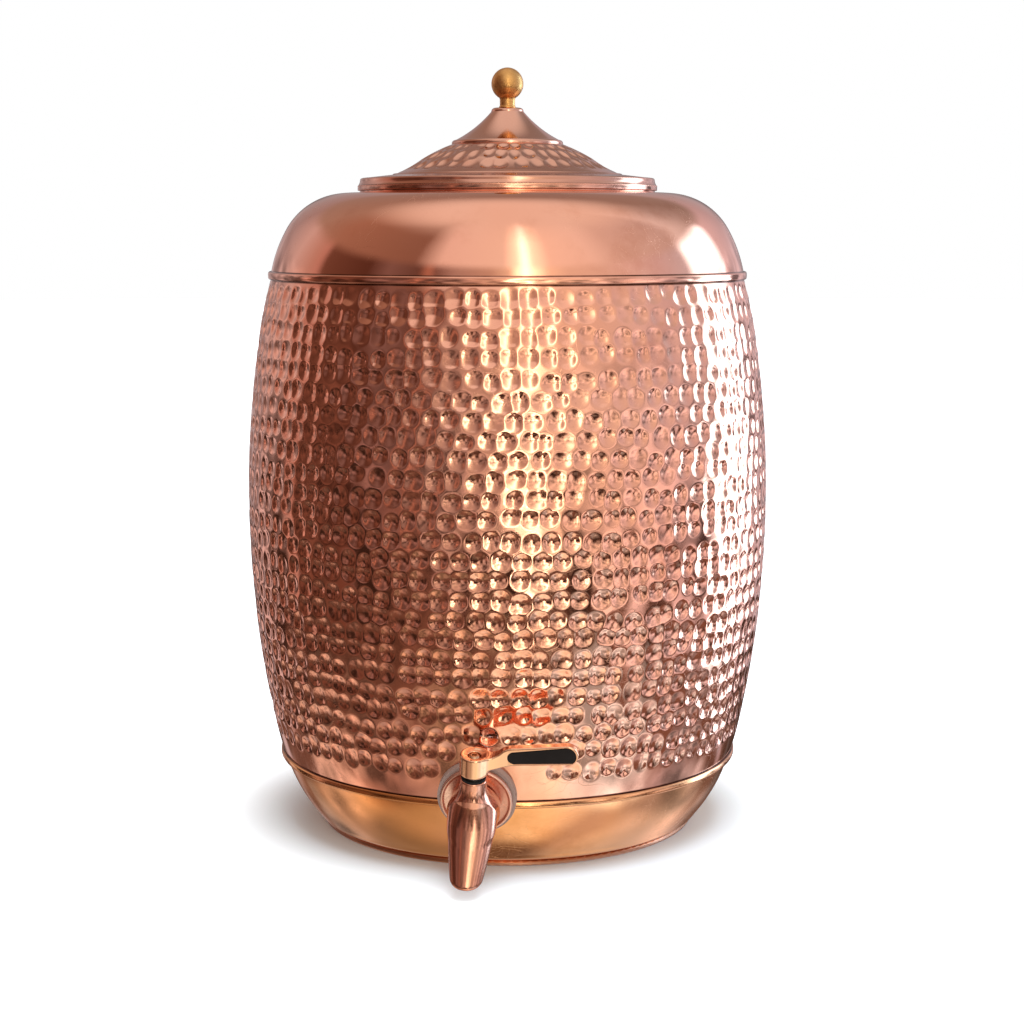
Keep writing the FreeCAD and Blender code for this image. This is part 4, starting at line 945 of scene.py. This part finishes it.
ARM = outline([
    (0.0, 28.0), (6.5, 28.0, arc(2.9, -1)), (9.2, 30.8), (17.5, 33.2), (46.6, 37.0, arc(5.3, 1)),
    (44.1, 47.1), (20.4, 43.3, arc(14, 1)), (13.6, 41.2, arc(12, -1)), (6.1, 36.9), (0.0, 36.9),
], 2.0)
INLAY = outline([
    (18.7, 34.7), (46.8, 38.1, arc(4.5, 1)), (43.1, 46.0), (18.0, 40.8, arc(3.2, 1)), (18.7, 34.7),
], 1.5)[:-1]
ARM_HALF, ARM_ROOT_HALF = 2.1, 5.6
HUB_LOW, HUB_TOP, HUB_RADIUS = 26.5, 37.0, 6.9
SCREW_HEAD_RADIUS, SCREW_SHANK_RADIUS, SQUARE_HALF = 3.2, 1.7, 2.2
INLAY_DEPTH = 1.2


def lever_field(x, y, up):
    beside = y + STEM_OUT
    hub = blend_cut(rod(x, beside, HUB_RADIUS), -between(up, HUB_LOW, HUB_TOP), 0.9)
    taper = np.clip((x - 2.1) / 14.5, 0, 1)
    half = ARM_HALF + (ARM_ROOT_HALF - ARM_HALF) * (1 - taper) ** 1.6
    blade = blend_cut(polygon_field(x, up, ARM), half - np.abs(beside), 0.9)
    whole = blend_union(hub, blade, 1.6)
    # The hub's dished top, the screw's recess and hole, and the square that fits the stem.
    dish = np.sqrt(x**2 + beside**2 + (up - HUB_TOP - 13.2) ** 2) - 14.3
    recess = np.maximum(rod(x, beside, SCREW_HEAD_RADIUS), between(up, 34.75, 40))
    whole = blend_cut(whole, dish, 0.5)
    whole = blend_cut(whole, recess, 0.35)
    socket = np.maximum(np.maximum(np.abs(x), np.abs(beside)) - SQUARE_HALF, between(up, 20, 33.7))
    screw_hole = np.maximum(rod(x, beside, SCREW_SHANK_RADIUS), between(up, 25, 36))
    whole = np.maximum(whole, -np.minimum(socket, screw_hole))
    pocket = np.maximum(polygon_field(x, up, INLAY), between(beside, -6, -(ARM_HALF - INLAY_DEPTH)))
    return blend_cut(whole, pocket, 0.5)


def make_flange():
    """The dished round flange behind the tap."""
    back, radius, hole = 4.2, 18.0, 8.05
    corners = [
        (hole, back), (radius - 0.4, back), (radius, back + 0.4), (radius, back + 2.4),
        (radius - 0.5, back + 3.0), (radius - 1.3, back + 3.0), (radius - 1.9, back + 2.2, arc(60, -1)),
        (hole, back + 1.9),
    ]
    points, faces = turned_mesh(soften(outline(corners, 0.8)[:-1], 0.4), 180)
    points = np.stack([points[:, 0], -points[:, 2], points[:, 1]], 1) @ TAP_TURN.T + TAP_PLACE
    new_piece("flange", points, faces, "vessel", "tap_flange", flange_copper)


make_cast(
    "tap", tap_field, (-14.1, -47.3, -28.1), (14.1, 20.1, 24.6), 0.45, "vessel", "tap_body", tap_copper
)
make_cast(
    "tap_lever_arm", lever_field, (-8.0, -30.0, 25.5), (52.6, -14.0, 49.0), 0.33,
    "tap_lever", "lever", lever_copper,
)
make_flange()


# -------------------- CAD nodes that stay

KEPT = {
    "foot_ring": shaded_foot_copper, "lid_skirt": inner_copper, "mouth_wire": steel, "knob_washer": steel,
    "knob_screw": steel, "outer_gasket": gasket_rubber, "inner_gasket": gasket_rubber,
    "tap_lock_nut": nut_brass, "valve_sleeve": ptfe, "thrust_washer": ptfe, "gland_nut": chrome,
    "dust_ring": black_rubber, "lever_inlay": black_enamel, "lever_screw": lever_screw_copper,
    "valve_stem": nut_brass, "stem_o_rings": black_rubber,
}
for node, material in KEPT.items():
    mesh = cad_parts[node].data
    mesh.materials.clear()
    mesh.materials.append(material)


# -------------------- stage, light and camera

# The camera stands to the right of the tap and looks down a little; lengths are in metres here.
CAMERA_TURN, CAMERA_PITCH, CAMERA_YAW = 6.9, 8.13, 0.129
CAMERA_DISTANCE, CAMERA_HEIGHT = 1.081, 0.3217
SENSOR = 36.0
FOCAL_SHARE = 2000 / 1024


def from_front(distance, turn, height):
    """A place that far from the axis, turned by degrees to the right of the tap's side."""
    angle = math.radians(turn)
    return distance * math.sin(angle), -distance * math.cos(angle), height


def make_camera():
    data = bpy.data.cameras.new("camera")
    data.sensor_width = SENSOR
    data.lens = SENSOR * FOCAL_SHARE
    camera = add("camera", data)
    camera.location = from_front(CAMERA_DISTANCE, CAMERA_TURN, CAMERA_HEIGHT)
    camera.rotation_euler = (math.radians(90 - CAMERA_PITCH), 0, math.radians(CAMERA_TURN - CAMERA_YAW))
    bpy.context.scene.camera = camera


FLOOR_RADIUS, FLOOR_SIDES = 8.0, 96
FLOOR_COLOUR = (0.70, 0.80, 0.88)
FLOOR_GLOW, FLOOR_NEAR, FLOOR_FAR = 0.05, 0.105, 0.20


def make_floor():
    """A pale floor that shows the vessel's shadow near it and glows white further off."""
    mesh = bpy.data.meshes.new("floor")
    ring = [from_front(FLOOR_RADIUS, k * 360 / FLOOR_SIDES, 0) for k in range(FLOOR_SIDES)]
    mesh.from_pydata(ring, [], [list(range(FLOOR_SIDES))])
    look = Look("floor_white", FLOOR_COLOUR, metallic=0.0, roughness=0.9)
    look.give("Emission Color", (1, 1, 1))
    away, _, _ = look.split()
    look.give("Emission Strength", look.spread(away, FLOOR_NEAR, FLOOR_FAR, FLOOR_GLOW, 1.0))
    look.give("Roughness", look.spread(look.noise(3), 0.3, 0.7, 0.85, 0.95))
    mesh.materials.append(look.material)
    floor = add("floor", mesh)
    floor.visible_glossy = False


# Studio surroundings that the copper reflects, as rings of (degrees to the right of the way back to
# the camera, colour): level with the vessel, high above it, a little below it and steeply down.
LEVEL = (
    (-180, (0.40, 0.34, 0.34)), (-150, (0.40, 0.32, 0.32)), (-128, (0.66, 0.56, 0.56)),
    (-112, (0.56, 0.38, 0.34)), (-106, (0.56, 0.34, 0.30)), (-101, (0.18, 0.09, 0.065)),
    (-72, (0.11, 0.05, 0.035)), (-60, (0.24, 0.16, 0.15)), (-44, (0.15, 0.085, 0.07)),
    (-39, (0.50, 0.26, 0.19)), (-35, (0.24, 0.15, 0.13)), (-26, (0.46, 0.36, 0.33)),
    (-8, (0.62, 0.50, 0.42)), (1, (0.95, 0.86, 0.70)), (5, (2.6, 2.4, 1.9)), (9, (4.2, 4.0, 3.3)),
    (13, (2.6, 2.4, 1.9)), (20, (1.15, 1.05, 0.86)), (30, (0.90, 0.80, 0.70)), (50, (0.82, 0.74, 0.70)),
    (62, (0.84, 0.78, 0.80)), (82, (0.70, 0.66, 0.74)), (98, (0.66, 0.74, 0.90)), (105, (2.8, 3.7, 4.5)),
    (126, (2.8, 3.7, 4.5)), (134, (0.80, 0.76, 0.88)), (155, (0.56, 0.48, 0.52)),
)
ABOVE = (
    (-180, (0.34, 0.27, 0.24)), (-130, (0.42, 0.33, 0.28)), (-105, (0.40, 0.26, 0.20)),
    (-48, (0.28, 0.17, 0.13)), (-34, (0.92, 0.82, 0.78)), (-2, (1.0, 0.95, 0.88)), (5, (1.8, 1.75, 1.5)),
    (9, (3.2, 3.4, 3.2)), (13, (1.8, 1.75, 1.5)), (22, (1.08, 1.0, 0.92)), (44, (0.98, 0.92, 0.88)),
    (60, (0.76, 0.70, 0.68)), (98, (0.66, 0.66, 0.70)), (108, (0.85, 0.92, 1.0)), (130, (0.50, 0.50, 0.52)),
    (150, (0.34, 0.30, 0.28)),
)
UNDER = (
    (-180, (0.55, 0.50, 0.50)), (-150, (0.55, 0.50, 0.50)), (-125, (0.75, 0.62, 0.56)),
    (-106, (1.10, 0.90, 0.75)), (-92, (0.72, 0.56, 0.46)), (-78, (0.42, 0.28, 0.22)),
    (-60, (0.40, 0.29, 0.25)), (-40, (0.50, 0.38, 0.30)), (-25, (0.62, 0.48, 0.34)),
    (-8, (1.10, 0.90, 0.66)), (6, (1.25, 1.20, 1.00)), (22, (1.12, 1.06, 0.86)), (40, (1.50, 1.60, 1.60)),
    (60, (1.80, 2.20, 2.35)), (72, (1.25, 1.40, 1.50)), (80, (0.48, 0.44, 0.46)), (100, (0.50, 0.46, 0.50)),
    (120, (0.85, 0.88, 0.95)), (150, (0.80, 0.70, 0.68)),
)
BELOW = (
    (-180, (0.40, 0.36, 0.34)), (-110, (0.30, 0.26, 0.25)), (-80, (0.52, 0.44, 0.42)),
    (-40, (0.66, 0.58, 0.52)), (-10, (1.05, 1.0, 0.86)), (20, (1.25, 1.18, 0.92)), (42, (1.20, 1.08, 0.90)),
    (60, (0.62, 0.52, 0.48)), (78, (0.68, 0.58, 0.55)), (100, (0.90, 0.88, 0.92)),
    (130, (0.70, 0.74, 0.84)),
)
DUSK = (0.15, 0.085, 0.062)
CEILING = (0.93, 0.88, 0.83)
GROUND = (0.14, 0.09, 0.06)

# The lower part is uneven: its brightness, its heights and its bearings (in turns) vary.
CLUTTER_SCALE, CLUTTER = 4.2, (-0.72, 0.6)
WOBBLE_SCALE, WOBBLE = 4.3, (-0.13, 0.13)
SWAY_SCALE, SWAY = 6.0, (-0.02, 0.02)
GREY = (0.15, 0.15, 0.15)
WHITE, BLACK = (1, 1, 1), (0, 0, 0)


def make_ring(nodes, colours, share):
    """A ring of colours, which may be brighter than 1, where the lamps are."""
    ramp = nodes.new("ValToRGB", (share,))
    stops = ramp.color_ramp.elements
    brightest = max(max(colour) for _, colour in colours)
    stops.remove(stops[-1])
    closing = ((180, colours[0][1]),)
    for number, (degrees, colour) in enumerate(colours + closing):
        stop = stops[0] if number == 0 else stops.new(degrees / 360 + 0.5)
        stop.position = degrees / 360 + 0.5
        stop.color = (*(channel / brightest for channel in colour), 1)
    return nodes.scale(ramp.outputs["Color"], brightest)


def make_world():
    """White to the camera, and to everything else the rings, blended by the height of the direction."""
    world = bpy.data.worlds.new("studio")
    world.use_nodes = True
    world.node_tree.nodes.clear()
    nodes = Nodes(world.node_tree, "Generated")
    x, y, height = nodes.new("SeparateXYZ", (nodes.place,)).outputs

    def blend(height, start, end, first, second):
        """Goes from first to second as the height goes from start to end."""
        return nodes.mix(nodes.spread(height, start, end), first, second)

    def uneven(scale, limits, value):
        """Adds noise between the limits to a value, in the lower part only."""
        noise = nodes.spread(nodes.noise(scale, 2, 0.5), 0.36, 0.64, *limits, kind="LINEAR")
        return nodes.math("MULTIPLY_ADD", noise, low, value)

    low = blend(height, -0.60, -0.78, blend(height, 0.05, 0.25, WHITE, BLACK), GREY)
    angle = nodes.math("ARCTAN2", x, nodes.math("MULTIPLY", y, -1))
    turned = nodes.math("MULTIPLY_ADD", angle, 1 / math.tau, 1.5 - CAMERA_TURN / 360)
    share = nodes.math("FRACT", uneven(SWAY_SCALE, SWAY, turned))
    level, above, under, below = (make_ring(nodes, ring, share) for ring in (LEVEL, ABOVE, UNDER, BELOW))
    wobbly = uneven(WOBBLE_SCALE, WOBBLE, height)
    colour = blend(height, 0.41, 0.52, level, above)
    colour = blend(height, 0.72, 0.97, colour, CEILING)
    colour = blend(wobbly, -0.18, -0.34, colour, DUSK)
    colour = blend(wobbly, -0.40, -0.56, colour, under)
    colour = blend(height, -0.68, -0.80, colour, below)
    colour = blend(height, -0.965, -1.0, colour, GROUND)
    clutter = uneven(CLUTTER_SCALE, CLUTTER, 1)
    colour = nodes.scale(colour, clutter)
    studio, white = (nodes.new("Background", (shade,)).outputs[0] for shade in (colour, WHITE))
    choice = nodes.new("MixShader", (nodes.new("LightPath").outputs["Is Camera Ray"], studio, white))
    nodes.new("OutputWorld", (choice.outputs[0],))
    bpy.context.scene.world = world


LAMP_POWER, LAMP_SIZE, LAMP_DISTANCE = 32, 1.2, 2.0
LAMP_TURN, LAMP_RISE = 18, 74


def make_lamp():
    """A soft lamp for the floor: the copper doesn't reflect it."""
    data = bpy.data.lights.new("floor_lamp", "AREA")
    data.shape, data.size, data.energy = "DISK", LAMP_SIZE, LAMP_POWER
    lamp = add("floor_lamp", data)
    rise = math.radians(LAMP_RISE)
    aim = Vector(from_front(math.cos(rise), CAMERA_TURN + LAMP_TURN, math.sin(rise)))
    lamp.location = aim * LAMP_DISTANCE
    lamp.rotation_euler = aim.to_track_quat("Z", "Y").to_euler()
    lamp.visible_glossy = False


make_floor()
make_lamp()
make_world()
make_camera()
bpy.context.scene.view_settings.view_transform = "Standard"
